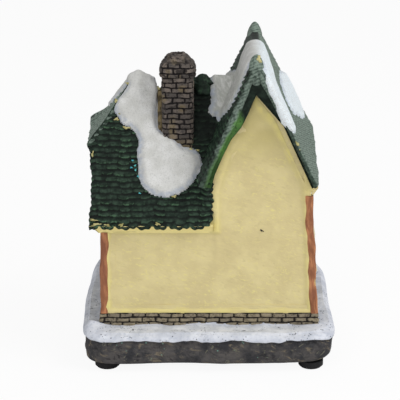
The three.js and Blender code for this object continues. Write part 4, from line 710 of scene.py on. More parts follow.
def build_gable_ridge():
    """The gable's roll: a ring of half-axes wide and tall, carried along the ridge. It swells into a
    round nub at each end, whose keel runs down over the edge face."""
    low, high = GABLE_FRONT_Y - 1.0, GABLE_BACK_Y + 1.0
    nub = np.linspace(0, 1, 26) ** 1.6 * 11
    y = np.concatenate([low + nub, np.linspace(low + 11.6, high - 11.6, 40), high - nub[::-1]])[:, None]
    angle = turn_of(40)
    inward = np.minimum(y - low, high - y)
    swell = 0.5 + 0.5 * np.cos(math.pi * np.clip(inward / 10, 0, 1))
    rounding = np.sqrt(1 - np.clip(1 - inward / 3.0, 0, 1) ** 2)
    top = 124.4 + (np.where(y > 0, 128.7, 128.3) - 124.4) * swell
    bottom = 118.5 - 3.5 * swell
    wide = (2.6 + (0.5 + 0.25 * (y < 0)) * swell) * np.maximum(rounding, 0.02)
    tall = (top - bottom) / 2 * np.maximum(rounding, 0.02)
    taper = 1 - 0.16 * np.sin(angle)
    x = gable_axis(y) + wide * np.cos(angle) * taper
    z = (top + bottom) / 2 + tall * np.sin(angle)
    place = stack(x, y, z)
    streaks = lumps(place * np.array([1, 1, 0.25]), 1.3, 21)
    swollen = crumple(place, 2.6, 3, 12) * 0.22 + 0.16 * streaks * swell
    place = place + swollen[..., None] * stack(np.cos(angle), 0, np.sin(angle))
    shell = Shell()
    shell.add_tube(place, edge=0 * x, deep=0.4 * ease(-streaks, 0.25, 0.7), dust=0.85 + 0 * x, fresh=0 * x)
    shell.finish("gable_ridge_roll_cast", SHINGLE, "ridge", ["gable_ridge_roll"])


# The main ridge's hand-cast crest: a lump beside the chimney, a dip behind it, low under the snow
CREST_X = [-4, -1.5, 0.0, 1.0, 2.6, 4, 5.3, 7, 18.4, 19.3, 22.4, 24.4, 31.9]
CREST_Z = [108.2, 109.2, 111.6, 112.6, 113.1, 112.8, 111.8, 111.4, 111.2, 105.6, 105.6, 110.8, 110.4]


def build_main_ridge():
    """The main roof's roll: a ring under the crest line, fatter and drooping to the back at the lump,
    shrinking to a round end in the east."""
    x_end, end_length = 30.4, 1.5
    end = np.concatenate([np.zeros(170), np.linspace(0, 1, 12)[1:]])[:, None]
    x = np.concatenate([np.linspace(-4, x_end, 170)[:, None], x_end + end_length * end[170:]])
    angle = turn_of(40)
    radius = 2.1 * np.sqrt(np.maximum(1 - end**2, 0.002))
    crest = np.interp(x, CREST_X, CREST_Z)
    lump = ease(x, -2.0, 1) * ease(x, 7, 4)
    y = MIDDLE_Y + radius * np.cos(angle) * (1 + 0.7 * lump) + 0.8 * lump
    z = crest - radius + radius * np.sin(angle) - 4.8 * lump * np.maximum(np.cos(angle), 0) ** 1.3
    place = stack(x, y, z)
    swollen = crumple(place, 2.2, 3, 15) * 0.2
    edge = 0.6 * ease(lumps(place, 1.6, 3), 0.0, 0.6)
    shell = Shell()
    shell.add_tube(place + swollen[..., None] * stack(0, np.cos(angle), np.sin(angle)),
                   edge=edge, deep=0.35 + 0 * y, dust=0 * y, fresh=0 * y)
    shell.finish("main_ridge_roll_cast", SHINGLE, "ridge", ["main_ridge_roll"])


# Snow on the roofs, drawn in plan over one smooth roof

HIP_SNOW = [
    (20.5, 6.4), (20.7, 9.4), (20.8, 15.0), (19.4, 16.4), (16.4, 16.9), (13.6, 18.1), (12.4, 19.2),
    (10.8, 20.3), (7.8, 20.6), (5.3, 21.3), (4.0, 22.8), (4.4, 24.6), (6.1, 26.4), (8.4, 27.9),
    (11.6, 29.2), (13.9, 29.9), (17.1, 30.3), (20.8, 30.0), (23.9, 29.1), (26.2, 27.7), (27.1, 26.2),
    (26.9, 24.6), (27.7, 22.5), (27.8, 20.9), (27.1, 19.6), (27.0, 18.7), (28.0, 17.5), (30.1, 15.9),
    (33.3, 14.6), (35.6, 13.1), (37.0, 11.4), (36.6, 9.9), (34.4, 8.0), (32.5, 6.0), (33.2, 4.0),
    (35.5, 1.5), (38.5, -1.5), (41.2, -4.6), (38.0, -7.7), (33.0, -10.2), (28.0, -8.9), (24.0, -11.7),
    (19.5, -12.6), (15.0, -10.5), (12.5, -6.8), (7.0, -5.2), (3.0, -6.8), (-1.0, -4.3), (-2.6, -1.0),
    (3.0, 0.2), (8.0, 2.4), (14.0, 3.0), (18.8, 1.6), (21.8, 2.0), (21.6, 4.6),
]
VALLEY_SNOW = [
    (-0.5, 6.0), (-1.1, 7.4), (-1.8, 9.2), (-1.7, 10.6), (-0.8, 11.2), (-0.7, 12.2), (-1.8, 12.9),
    (-3.6, 13.1), (-5.2, 17.3), (-7.0, 24.7), (-8.2, 28.0), (-9.6, 29.3), (-11.1, 29.8), (-12.9, 30.2),
    (-14.6, 30.5), (-17.0, 29.8), (-19.4, 30.6), (-21.4, 35.2), (-26.4, 35.4), (-32.0, 35.4),
    (-33.2, 31.5), (-33.8, 27.5), (-33.0, 24.5), (-31.3, 22.0), (-29.7, 21.2), (-28.0, 20.2),
    (-26.8, 17.5), (-25.7, 14.0), (-24.4, 8.5), (-23.3, 2.0), (-21.8, -4.0), (-19.8, -4.6),
    (-18.0, -3.5), (-16.6, -4.5), (-13.7, -5.6), (-11.9, -1.0), (-10.4, -12.0), (-8.6, -24.8),
    (-6.2, -22.0), (-4.2, -15.0), (-1.2, -9.0), (-2.8, -4.0), (-1.6, 0.0), (-0.4, 3.0),
]
FAR_GABLE_SNOW = [
    (-28.6, -2.2), (-29.2, 1.4), (-30.2, 7.0), (-31.8, 8.6), (-33.8, 7.0), (-36.2, -2.3), (-38.2, -8.6),
    (-39.8, -18.1), (-39.0, -22.0), (-37.4, -25.0), (-35.4, -27.6), (-30.8, -27.6), (-29.2, -20.0),
    (-28.4, -10.0),
]


def rounded(outline, steps=5):
    """A smooth closed line through given points: each stretch is a cubic through its neighbours."""
    p = np.array(outline, float)
    before, after, later = np.roll(p, 1, 0), np.roll(p, -1, 0), np.roll(p, -2, 0)
    t = (np.arange(steps) / steps)[None, :, None]
    a, b, c, d = (q[:, None, :] for q in (before, p, after, later))
    line = 0.5 * (2 * b + (c - a) * t + (2 * a - 5 * b + 4 * c - d) * t**2 + (3 * b - a - 3 * c + d) * t**3)
    return line.reshape(-1, 2)


def depth_inside(points, outline):
    """Distance from each point to a closed line in space, positive inside: the nearest of its edges, with
    the sign from how often a line to the right crosses them in plan."""
    a, b = outline, np.roll(outline, -1, axis=0)
    q = points.reshape(-1, 1, 3)
    along = (b - a)[None]
    share = np.clip(((q - a) * along).sum(-1) / np.maximum((along**2).sum(-1), 1e-9), 0, 1)
    gap = np.sqrt((((a + share[..., None] * along) - q) ** 2).sum(-1)).min(axis=1)
    above = (a[None, :, 1] > q[..., 1]) != (b[None, :, 1] > q[..., 1])
    rise = np.where(np.abs(along[..., 1]) < 1e-9, 1e-9, along[..., 1])
    crossing = a[None, :, 0] + (q[..., 1] - a[None, :, 1]) / rise * along[..., 0]
    inside = (above & (q[..., 0] < crossing)).sum(axis=1) % 2 == 1
    return np.where(inside, gap, -gap).reshape(points.shape[:-1])


def soft_max(a, b, width):
    """The larger of two heights, with the crease between them filled over a width."""
    share = np.clip(0.5 + (a - b) / (2 * width), 0, 1)
    return b + (a - b) * share + width * share * (1 - share)


def roof_height(x, y):
    """The smooth roof seen from above: the main roof's three slopes, the gable's two with its rounded
    ridge, and the filled valley between them."""
    soften = np.sqrt((y - MIDDLE_Y) ** 2 + 1.2) - 1.0
    main = RIDGE_Z - PITCH * soften
    hip = RIDGE_Z - (x - (VERGE_X - HIP_RUN)) * (RIDGE_Z - HIP_EAVE_Z) / HIP_RUN
    main = -soft_max(-main, -hip, 0.8) - dent(x, y)
    main = np.where((x < VERGE_X + 0.5) & (x > GABLE_X), main, 0)
    axis = gable_axis(y)
    out = np.abs(x - axis)
    reach = np.where(x > axis, GABLE_EAST, GABLE_WEST)
    t = np.maximum(out - GABLE_TOP, 0) / (reach - GABLE_TOP)
    bent = t ** (1 / GABLE_BEND)
    gable = gable_level(bent) + 1.1 + gable_lift(y, bent)
    gable = gable + 1.5 * (1 - np.minimum(out / GABLE_TOP, 1) ** 2)
    return soft_max(main, gable, 1.6)


def build_snow(name, outline, thickness, replaces, step, seed):
    """A blanket over the smooth roof: its depth is the thickness, eased in over the distance from the
    outline, and below nothing outside it, where it sinks under the shingles. It is heaped up where it
    lies over the half-hip's peak."""
    line = rounded(outline)
    line = np.column_stack([line, roof_height(line[:, 0], line[:, 1])])
    (x0, y0), (x1, y1) = line[:, :2].min(axis=0) - 1.6, line[:, :2].max(axis=0) + 1.6
    step_y = step * 1.2
    x, y = np.meshgrid(np.arange(x0, x1, step), np.arange(y0, y1, step_y), indexing="ij")
    z = roof_height(x, y)
    place = stack(x, y, z)
    depth = depth_inside(place, line) + crumple(place, 4, 3, seed) * 0.4 + lumps(place, 0.8, seed) * 0.16
    past_gable = (y > GABLE_BACK_Y + 0.1) | ((y < GABLE_FRONT_Y - 0.1) & (x < GABLE_X))
    depth = np.where(past_gable, -9, depth)
    dx, dy = np.gradient(z, step, step_y)
    outward = stack(-dx, -dy, np.ones(x.shape))
    outward = outward / np.linalg.norm(outward, axis=-1, keepdims=True)
    plump = ease(depth, -0.3, 2.4) ** 0.7
    heap = 1.9 * bell(x, y, (28.2, MIDDLE_Y), (2.6, 4.5))
    height = np.where(depth > -0.3, -0.1 + (thickness + heap + 0.1) * plump, -0.1 + (depth + 0.3) * 1.2)
    height = height + crumple(place, 7, 3, seed + 5) * 0.28 * plump
    points = place + height[..., None] * outward
    under = place + np.minimum(height - 0.5, -0.7)[..., None] * outward
    keep = depth > -1.2
    # Painted light and shade: the snow west of the gable's ridge is painted brighter as if lit, and the
    # valley east of it grey as if shaded.
    from_axis = x - gable_axis(y)
    paint = {
        "rim": ease(depth, 1.8, 0.1), "cool": ease(from_axis, 1.2, -2.5),
        "grey": ease(from_axis, 2.2, 6.5) * ease(x, 3, 0),
    }
    shell = Shell()
    shell.add_grid(points, keep=keep, **paint)
    shell.add_grid(under, keep=keep, flip=True, **paint)
    close_border(shell, keep)
    shell.finish(name, SNOW, "snow", replaces)


def close_border(shell, keep):
    """Walls between two grids with the same kept cells, along the edges that only one kept cell uses."""
    faces = grid_faces(*keep.shape)
    faces = faces[keep.reshape(-1)[faces].all(axis=1)]
    edges = np.concatenate([faces[:, [k, (k + 1) % 4]] for k in range(4)])
    ends = np.sort(edges, axis=1)
    unique, counts = np.unique(ends[:, 0] * keep.size + ends[:, 1], return_counts=True)
    border = edges[np.isin(ends[:, 0] * keep.size + ends[:, 1], unique[counts == 1])]
    low, high = border.T
    shell.quads.append(np.stack([high, low, low + keep.size, high + keep.size], axis=-1))


def build_verge_snow():
    """Snow hanging over the gable's west edge face: a fat string along the edge, thin at both ends, whose
    ring is flat against the face."""
    t = np.linspace(0.05, 0.54, 150)[:, None]
    angle = turn_of(32)
    x = GABLE_X - gable_half(gable_level(t), -1)
    z = gable_level(t) + 0.6
    ends = np.sqrt(np.clip(1 - np.abs(2 * (t - 0.05) / 0.49 - 1) ** 5, 0.0004, 1))
    ragged = crumple(stack(x, GABLE_BACK_Y, z + 0 * angle), 3, 3, 14)
    wide = (1.5 + 0.55 * ease(t, 0.16, 0.42) + 0.4 * ragged) * ends
    deep = (1.7 + 0.25 * ragged) * ends
    across = wide * np.cos(angle)
    place = stack(x + (across + 0.9 * ends) * 0.92 - 0.5, GABLE_BACK_Y - 0.2 + deep * np.sin(angle),
                  z - across * 0.2 + 0.2)
    place = place + crumple(place, 1.6, 2, 15)[..., None] * 0.16
    shell = Shell()
    rim = 0.25 * ease(np.cos(angle), 0.4, 1) + 0 * t
    # The verge snow lies west of the gable's ridge and takes the same painted light.
    shell.add_tube(place, rim=rim, cool=0.8 + 0 * rim, grey=0 * rim)
    shell.finish("gable_edge_snow_lie", SNOW, "snow")


def build_roof_snow():
    build_snow("hip_snow_lie", HIP_SNOW, 1.35, ["back_roof_snow", "front_roof_snow"], 0.26, 1)
    build_snow("valley_snow_lie", VALLEY_SNOW, 1.2, ["valley_snow"], 0.22, 3)
    build_snow("far_gable_snow_lie", FAR_GABLE_SNOW, 1.2, ["far_gable_snow"], 0.22, 4)
    build_verge_snow()


# Walls

# The back wall's top in x from the gable's middle, and its height there
WALL_TOP_X = [-25.6, -22.3, -10.7, 0, 12.9, 18.0, 18.4, 62]
WALL_TOP_Z = [74.6, 75.6, 101, WALL_TIP + 1, 87.6, 75.2, 58.6, 58.6]
PANEL_LOW, PANEL_CORNER_X = PLINTH_TOP + 1.5, GABLE_X + 14.2
PANELS = [
    (PANEL_CORNER_X, 73.0), (GABLE_X + 10.4, 85), (GABLE_X - 0.2, 107.5), (GABLE_X - 9.0, 97.4),
    (-37.2, 74.5), (-39.6, PANEL_LOW), (39.6, PANEL_LOW), (39.4, 55.6), (PANEL_CORNER_X, 55.6),
]


def build_back_wall():
    """The back wall's plaster: a thin skin from side to side and from the plinth to the roof's edge,
    sunk inside two panels whose rims are rounded. Its lower rows are level, its upper ones fan out to
    the roof's edge."""
    columns, rows, level_rows, level_z = 270, 320, 0.4, 56.4
    v = np.linspace(0, 1, rows)[:, None]
    x = HALF_WIDTH * np.linspace(-1, 1, columns)[None, :]
    top = np.interp(x - GABLE_X, WALL_TOP_X, WALL_TOP_Z) + 0.6
    z = PLINTH_TOP - 0.2 + (level_z - PLINTH_TOP) * np.minimum(v / level_rows, 1)
    z = z + (top - level_z + 0.2) * np.maximum((v - level_rows) / (1 - level_rows), 0)
    x = x * (wall_reach(x, z) + 0.1) / HALF_WIDTH
    flat = stack(x, BACK_Y, z)
    inside = depth_inside(stack(x, z, 0), np.array([(*corner, 0.0) for corner in PANELS]))
    fold = np.exp(-(((x - PANEL_CORNER_X - 0.9) / 1.3) ** 2)) * ease(z, 34, 58) * ease(z, 78, 70)
    soft = 0.4 + ease(z, 60, 84) * 1.4
    sunk = ease(inside + 0.5 * lumps(flat, 4, 1), -0.5 - soft, 0.8 + soft)
    plain = ease(z, 82, 96)
    relief = (0.35 - 0.55 * sunk) * (1 - plain) + 0.14 * plain
    surface = BACK_Y + relief + 0.3 * fold + crumple(flat, 9, 3, 4) * 0.16 + lumps(flat, 1.5, 7) * 0.05
    rim = (1 - sunk) * (1 - plain) * (0.55 + 0.45 * lumps(flat, 3, 9))
    rim = rim * (1 - 0.55 * ease(z, 58, 64) * ease(x, PANEL_CORNER_X - 2, PANEL_CORNER_X))
    dabbed = 0.35 + 0.65 * ease(lumps(flat, 2.2, 23), -0.5, 0.3)
    brushed = 0.9 * ease(top - z, 7.5, 3.0) * ease(z, 76, 82) * dabbed
    shade = ease(inside, 2.6, 0.3) * ease(inside, -0.4, 0.3) * 0.22 * ease(z, 98, 82)
    shade = shade + 0.75 * ease(z, 76, 102) * (0.85 + 0.3 * lumps(flat, 4, 17)) * (1 - 0.75 * brushed)
    shell = Shell()
    rim, shade = np.clip(np.maximum(rim, brushed), 0, 1), np.clip(shade, 0, 1)
    shell.add_grid(stack(x, surface, z), rim=rim, shade=shade)
    shell.add_skirt(edge_loop(rows, columns), (0, -0.9, 0))
    shell.finish("back_wall_plaster", WALL, "wall")


def build_eave_end():
    """Plaster that closes the gap between the back wall and the west eave: a rounded outline in x and z,
    carried from inside the wall to just in front of it, where it shrinks to a dome."""
    outline = rounded([
        (-37.4, 84.0), (-39.0, 81.0), (-40.6, 78.2), (-42.2, 75.5), (-42.3, 74.9), (-41.6, 74.2),
        (-40.9, 73.2), (-39.9, 72.0), (-38.4, 71.6), (-37.4, 73.5), (-37.2, 79.0),
    ], 6)
    middle = np.array([-39.4, 76.5])
    y = np.array([29.5, 31.8, 32.25, 32.42, 32.48, 32.5])[:, None]
    size = np.array([1.0, 1.0, 0.97, 0.85, 0.5, 0.15])[:, None]
    x, z = (middle[k] + (outline[None, :, k] - middle[k]) * size for k in (0, 1))
    place = stack(x, y, z)
    place = place + crumple(place, 2.5, 2, 71)[..., None] * np.array([0.12, 0.1, 0.12])
    shell = Shell()
    shell.add_tube(place, flip=True, rim=0.35 + 0 * x, shade=0.1 + 0 * x)
    shell.finish("west_eave_end", WALL, "wall")


def build_post(name, sign_x, sign_y, top):
    """A hand-carved corner timber: a rounded square ring swaying as it rises."""
    z = np.linspace(PLINTH_TOP - 0.1, top, 120)[:, None]
    angle = turn_of(32)
    sway = np.sin((z - PLINTH_TOP) * 0.27 + sign_x + 2 * sign_y)
    carved = np.sin((z - PLINTH_TOP) * 0.61 + 3 * sign_x)
    squareness = (np.abs(np.cos(angle)) ** 3.2 + np.abs(np.sin(angle)) ** 3.2) ** (-1 / 3.2)
    half = (POST_HALF + 0.1 * carved) * squareness
    corner_y = BACK_Y if sign_y > 0 else FRONT_Y
    x = sign_x * (wall_reach(sign_x, z) - 1.0 + 0.16 * sway) + half * np.cos(angle)
    y = corner_y + sign_y * (-0.8 + 0.1 * sway) + half * np.sin(angle)
    place = stack(x, y, z)
    chipped = crumple(place * np.array([1, 1, 0.35]), 2.4, 3, 5) * 0.22
    shell = Shell()
    shell.add_tube(place + chipped[..., None] * stack(np.cos(angle), np.sin(angle), 0))
    shell.finish(f"{name}_carved", TIMBER, "post", [name])


def build_posts():
    for name, sign_x, sign_y in (
        ("corner_post_back_east", 1, 1), ("corner_post_back_west", -1, 1),
        ("corner_post_front_west", -1, -1), ("corner_post_front_east", 1, -1),
    ):
        build_post(name, sign_x, sign_y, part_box(name)[1].z / MM + 0.4)


def brick_face(along, z, bottom, course, brick, seed):
    """Height and paint values of hand-laid bricks: plump in the middle, sunk at wandering joints, each
    with its own tone and thickness, courses breaking joint."""
    spot = stack(along, z, 0 * along + seed)
    bent_z = z + 0.3 * lumps(spot, 3.1, 11) + 0.1 * lumps(spot, 1.1, 12)
    bent = along + 0.45 * lumps(spot, 2.7, 13)
    rows = (bent_z - bottom) / course
    index = np.floor(rows)
    jitter = 0.3 * (scatter(index, seed + 3) - 0.5)
    place = bent / brick + (index % 2) * 0.5 + jitter
    tile = np.floor(place)
    across, up = place - tile, rows - index
    own = scatter(tile, index, seed)
    side_gap = np.minimum(across, 1 - across) * brick
    level_gap = np.minimum(up, 1 - up) * course
    ragged = 0.14 * lumps(spot, 0.8, 5) + 0.1 * lumps(spot, 2.2, 6)
    plump = ease(side_gap + ragged, 0.16, 0.5) * ease(level_gap + ragged, 0.16, 0.42)
    return plump * (0.65 + 0.35 * own), 1 - plump, own


def add_dome(shell, place, outward, length, width, height, turn, seed):
    """A low dome lying on a surface: rings round its middle, each a ragged ellipse, its height falling
    off as the square of the way out, its rim buried."""
    outward = np.array(outward, float) / np.linalg.norm(outward)
    level = np.cross([0, 0, 1.0], outward)
    level = level / np.linalg.norm(level)
    steep = np.cross(outward, level)
    r = np.linspace(1, 0.12, 6)[:, None]
    angle = turn_of(18)
    ragged = 1 + 0.3 * np.sin(3 * angle + seed) + 0.2 * np.sin(5 * angle + 2.3 * seed)
    u, v = r * ragged * length * np.cos(angle), r * ragged * width * np.sin(angle)
    c, s = math.cos(turn), math.sin(turn)
    up = height * (1 - r**2) - 0.25 + 0 * angle
    points = np.array(place, float) + (u * c - v * s)[..., None] * level
    points = points + (u * s + v * c)[..., None] * steep + up[..., None] * outward
    shell.add_tube(points, flip=True)


# Places of stray paint, the way out of the surface there, and the length and width of each drop
BACK_OUT, WALL_OUT = (0, PITCH, 1), (0, 1, 0)
CREAM_DABS = [
    ((32.7, 6.1, 109.7), BACK_OUT, 0.8, 0.5), ((37.1, 9.9, 103.5), BACK_OUT, 0.8, 0.8),
    ((36.9, 14.0, 97.0), BACK_OUT, 1.0, 0.6), ((35.6, 12.9, 98.9), BACK_OUT, 0.5, 0.5),
    ((33, 15.9, 94), BACK_OUT, 1.6, 0.5), ((20.3, 7.0, 107.8), BACK_OUT, 0.8, 0.9),
    ((46.3, 21.4, 84.7), BACK_OUT, 0.4, 1.3), ((13.9, 30.6, 70), BACK_OUT, 1.0, 0.5),
    ((45.6, 35.5, 61.8), BACK_OUT, 1.5, 0.4), ((44.6, 36.2, 60.2), BACK_OUT, 1.8, 0.5),
    ((40.2, 36.4, 60.0), BACK_OUT, 1.2, 0.4), ((34.7, 36.4, 60.0), BACK_OUT, 0.9, 0.7),
    ((20.4, 36.2, 60.4), BACK_OUT, 1.0, 0.6), ((7.4, 20.6, 86.4), BACK_OUT, 0.9, 0.5),
    ((4.5, 20.8, 86.1), BACK_OUT, 0.7, 0.4),
]
GLITTER = [
    (30.4, 22.6, 82.4), (29.4, 23.6, 80.6), (29.2, 24.7, 79.1), (28.2, 26.2, 76.9), (27.5, 29.6, 71.0),
    (30.9, 24.2, 79.9),
]


def build_dabs():
    """Stray drops of wall paint on the shingles, glitter beside the snow, and one dark drop on the wall."""
    shell = Shell()
    for k, (place, outward, length, width) in enumerate(CREAM_DABS):
        add_dome(shell, place, outward, length, width, 0.45, 0.2 * math.sin(3.0 * k), 1.7 * k)
    add_dome(shell, (-18.9, 35.1, 126.6), (0, 1, 0.45), 0.9, 1.5, 0.7, 0.3, 5.0)
    add_dome(shell, (-33.9, 35.4, 92.6), WALL_OUT, 0.8, 1.2, 0.6, 0.2, 2.0)
    add_dome(shell, (-34.6, 35.2, 90.4), WALL_OUT, 0.5, 0.8, 0.6, 0.9, 3.0)
    shell.finish("cream_paint_drops", CREAM, "wall")
    bright = Shell()
    for k, place in enumerate(GLITTER):
        add_dome(bright, place, BACK_OUT, 0.5, 0.32, 0.4, 0.7 * k, 1.3 * k)
    bright.finish("glitter_flecks", FLECK, "shingle")
    dark = Shell()
    add_dome(dark, (-20.8, 32.1, 56.1), WALL_OUT, 0.8, 0.35, 0.3, -0.5, 1.0)
    dark.finish("dark_paint_drop", DARK_DROP, "shingle")


def build_plinth():
    """Bricks round the foot of the house: a rectangle carried up three courses, with a lid and a floor."""
    line = rectangle_line(PLINTH_HALF_X, PLINTH_HALF_Y, 0.34)
    z = np.linspace(BASE_TOP, PLINTH_TOP + 0.05, 46)[:, None]
    x, y, along, out_x, out_y = (values[None, :] + 0 * z for values in line)
    z = z + 0 * x
    plump, deep, own = brick_face(along, z, BASE_TOP, 1.95, 5.1, 4.0)
    out = -0.42 + 0.6 * plump + crumple(stack(x, y, z), 2.2, 3, 3) * 0.13
    front = stack(x + out_x * out, y + out_y * out + MIDDLE_Y, z)
    lid, low_lid = (stack(x[:1] * 0.9, y[:1] * 0.86 + MIDDLE_Y, level) for level in (z[-1:], z[:1]))
    own, deep = (np.concatenate([a[:1], a, a[:1]]) for a in (own, deep))
    shell = Shell()
    shell.add_grid(np.concatenate([low_lid, front, lid]), wrap_rows=True, wrap_columns=True, tone=own,
                   deep=deep, tan=0.35 * own * (1 - deep))
    shell.finish("brick_plinth_laid", PLINTH, "brick", ["brick_plinth"])


def rectangle_line(half_x, half_y, step):
    """Points round a rectangle at even steps: x, y, way along, and the outward direction in x and y."""
    sides, way = [], 0
    corners = [(half_x, -half_y), (half_x, half_y), (-half_x, half_y), (-half_x, -half_y)]
    for (x0, y0), (x1, y1) in zip(corners, corners[1:] + corners[:1]):
        length = math.hypot(x1 - x0, y1 - y0)
        count = int(length / step)
        t = np.arange(count) / count
        out_x, out_y = (y1 - y0) / length, -(x1 - x0) / length
        sides.append(stack(x0 + (x1 - x0) * t, y0 + (y1 - y0) * t, way + length * t, out_x, out_y))
        way += length
    return np.concatenate(sides).T


def brick_tube(z, half_x, half_y, bottom, course, brick, seed):
    """A square tube of bricks with soft corners: each ring is a square whose corners are pulled in, at
    its own half-widths, and bricks are raised along its outward direction."""
    ux, uy = (values[None, :] for values in rectangle_line(1, 1, 1 / 40)[:2])
    bend = np.maximum(np.abs(ux), np.abs(uy)) / (np.abs(ux) ** 7 + np.abs(uy) ** 7) ** (1 / 7)
    x, y = ux * bend * half_x, uy * bend * half_y
    on_x_side = np.abs(ux) > np.abs(uy)
    along = np.where(on_x_side, uy * half_y + 40, ux * half_x)
    plump, deep, own = brick_face(along + 0 * z, z + 0 * x, bottom, course, brick, seed)
    normal = stack(x / half_x**2, y / half_y**2, 0)
    normal = normal / np.linalg.norm(normal, axis=-1, keepdims=True)
    place = stack(x, y, z)
    out = -0.42 + 0.55 * plump + crumple(place, 2.0, 3, seed) * 0.18
    return place + out[..., None] * normal + np.array([CHIMNEY_X, CHIMNEY_Y, 0]), deep, own


# The chimney cap's half-width by height, and the rings that turn down into the flue: radius and height
CAP_Z = [114.8, 115.3, 116.4, 118.0, 119.3, 120.6, 121.8, 122.8, 123.5, 123.9]
CAP_HALF = [6.35, 6.95, 7.25, 7.2, 6.7, 5.9, 4.9, 3.9, 2.9, 2.3]
FLUE = [(1.9, 123.6), (1.7, 122.8), (1.6, 120.0)]


def build_chimney():
    """The shaft is a tube of bricks. The cap is one that swells, draws in to a dome and turns down into
    the flue."""
    z = np.linspace(84, 115.6, 230)[:, None]
    half_x, half_y, bottom = CHIMNEY_HALF_X + 0 * z, CHIMNEY_HALF_Y + 0 * z, 115.2 - 20 * CHIMNEY_COURSE
    grid, deep, own = brick_tube(z, half_x, half_y, bottom, CHIMNEY_COURSE, 5.0, 2.0)
    tan = ease(lumps(grid, 4, 31), 0.2, 0.7) * 0.5 + ease(grid[..., 2], 92, 86) * 0.6
    shaft = Shell()
    shaft.add_tube(grid, deep=deep, tone=own, tan=tan * (1 - deep))
    shaft.finish("chimney_stack_laid", CHIMNEY, "brick", ["chimney_stack"])
    z = np.linspace(CAP_Z[0], CAP_Z[-1], 90)[:, None]
    half = np.interp(z, CAP_Z, CAP_HALF) - 0.15 * ease(z, 117, 121)
    grid, deep, own = brick_tube(z, half, half * 0.96, 114.9, 2.05, 4.6, 7.0)
    knobbly = ease(grid[..., 2:], 119, 122) * crumple(grid, 2.4, 3, 40)[..., None]
    grid = grid + knobbly * np.array([0.3, 0.3, 0.35])
    pits = 0.8 * ease(-crumple(grid, 1.6, 2, 44), 0.25, 0.6)
    deep = np.maximum(deep * ease(grid[..., 2], 121.6, 120.2), pits)
    angle = np.arctan2(grid[-1:, :, 1] - CHIMNEY_Y, grid[-1:, :, 0] - CHIMNEY_X)
    rings = [stack(CHIMNEY_X + r * np.cos(angle), CHIMNEY_Y + r * np.sin(angle), level) for r, level in FLUE]
    grid = np.concatenate([grid, *rings])
    deep = np.concatenate([deep, 0.4 + 0 * angle, 1.0 + 0 * angle, 1.0 + 0 * angle])
    own = np.concatenate([own] + 3 * [0.2 + 0 * angle])
    cap = Shell()
    cap.add_tube(grid, deep=deep, tone=own, tan=0.3 * ease(lumps(grid, 2, 50), 0.3, 0.7))
    cap.finish("chimney_cap_laid", CHIMNEY, "brick", ["chimney_cap"])


def build_flaunching():
    """The mortar that seals the chimney's east side to the slope: a strip down the slope, humped across
    and ragged."""
    start_y, run_y, width = 6.6, 11.5, 2.9
    length = run_y * math.hypot(1, PITCH)
    v = np.linspace(0, 1, 90)[:, None]
    u = np.linspace(0, 1, 18)[None, :]
    y = start_y + run_y * v
    place = stack(CHIMNEY_X + 5.6 + width * u, y, RIDGE_Z - PITCH * (y - MIDDLE_Y))
    ragged = crumple(place, 1.8, 3, 61)
    hump = (1 - np.abs(2 * u - 1) ** 3) * ease(v * length, 0, 1.2) * ease((1 - v) * length, 0, 1.2)
    outward = np.array([0, PITCH, 1]) / math.hypot(PITCH, 1)
    top = place + (-0.5 + 1.5 * hump + 0.35 * ragged * hump)[..., None] * outward
    shell = Shell()
    shell.add_grid(top, deep=0.6 * ease(-ragged, 0.1, 0.5), tone=0.8 + 0 * hump, tan=0.9 + 0 * hump)
    shell.add_skirt(edge_loop(*hump.shape), -1.2 * outward)
    shell.finish("chimney_flaunching", CHIMNEY, "brick")


# Rock base and the snow on it

def base_line(t, grow):
    """The base's outline by share of its way round: a rectangle with round corners, as the curve where
    the ninth powers of the shares of its half-widths add up to 1, hand-cast."""
    angle = t * 2 * math.pi
    c, s = np.cos(angle), np.sin(angle)
    radius = (np.abs(c / (BASE_HALF_X + grow)) ** 9 + np.abs(s / (BASE_HALF_Y + grow)) ** 9) ** (-1 / 9)
    sway = 0.35 * np.sin(angle * 3 + 1) + 0.25 * np.sin(angle * 7 + 2) - 0.25 + 0.6 * ease(c, 0.4, 0.8)
    return (radius + sway) * c, (radius + sway) * s


def box_line(t, half_x, half_y):
    """A rectangle about the house's middle by share of its way round: rays cut off at its sides."""
    c, s = np.cos(t * 2 * math.pi), np.sin(t * 2 * math.pi)
    radius = 1 / np.maximum(np.abs(c) / half_x, np.abs(s) / half_y)
    return radius * c, radius * s + MIDDLE_Y


# The well for the light insert, from the underside inwards: half-widths in x and y, and height
WELL = [(22.6, 13.1, 3.0), (21.9, 12.4, 3.0), (21.9, 12.4, 3.3), (21.9, 12.4, 4.7), (21.7, 12.2, 4.9),
        (19.5, 10.0, 4.9), (19.3, 9.8, 5.2), (19.3, 9.8, 14.7)]


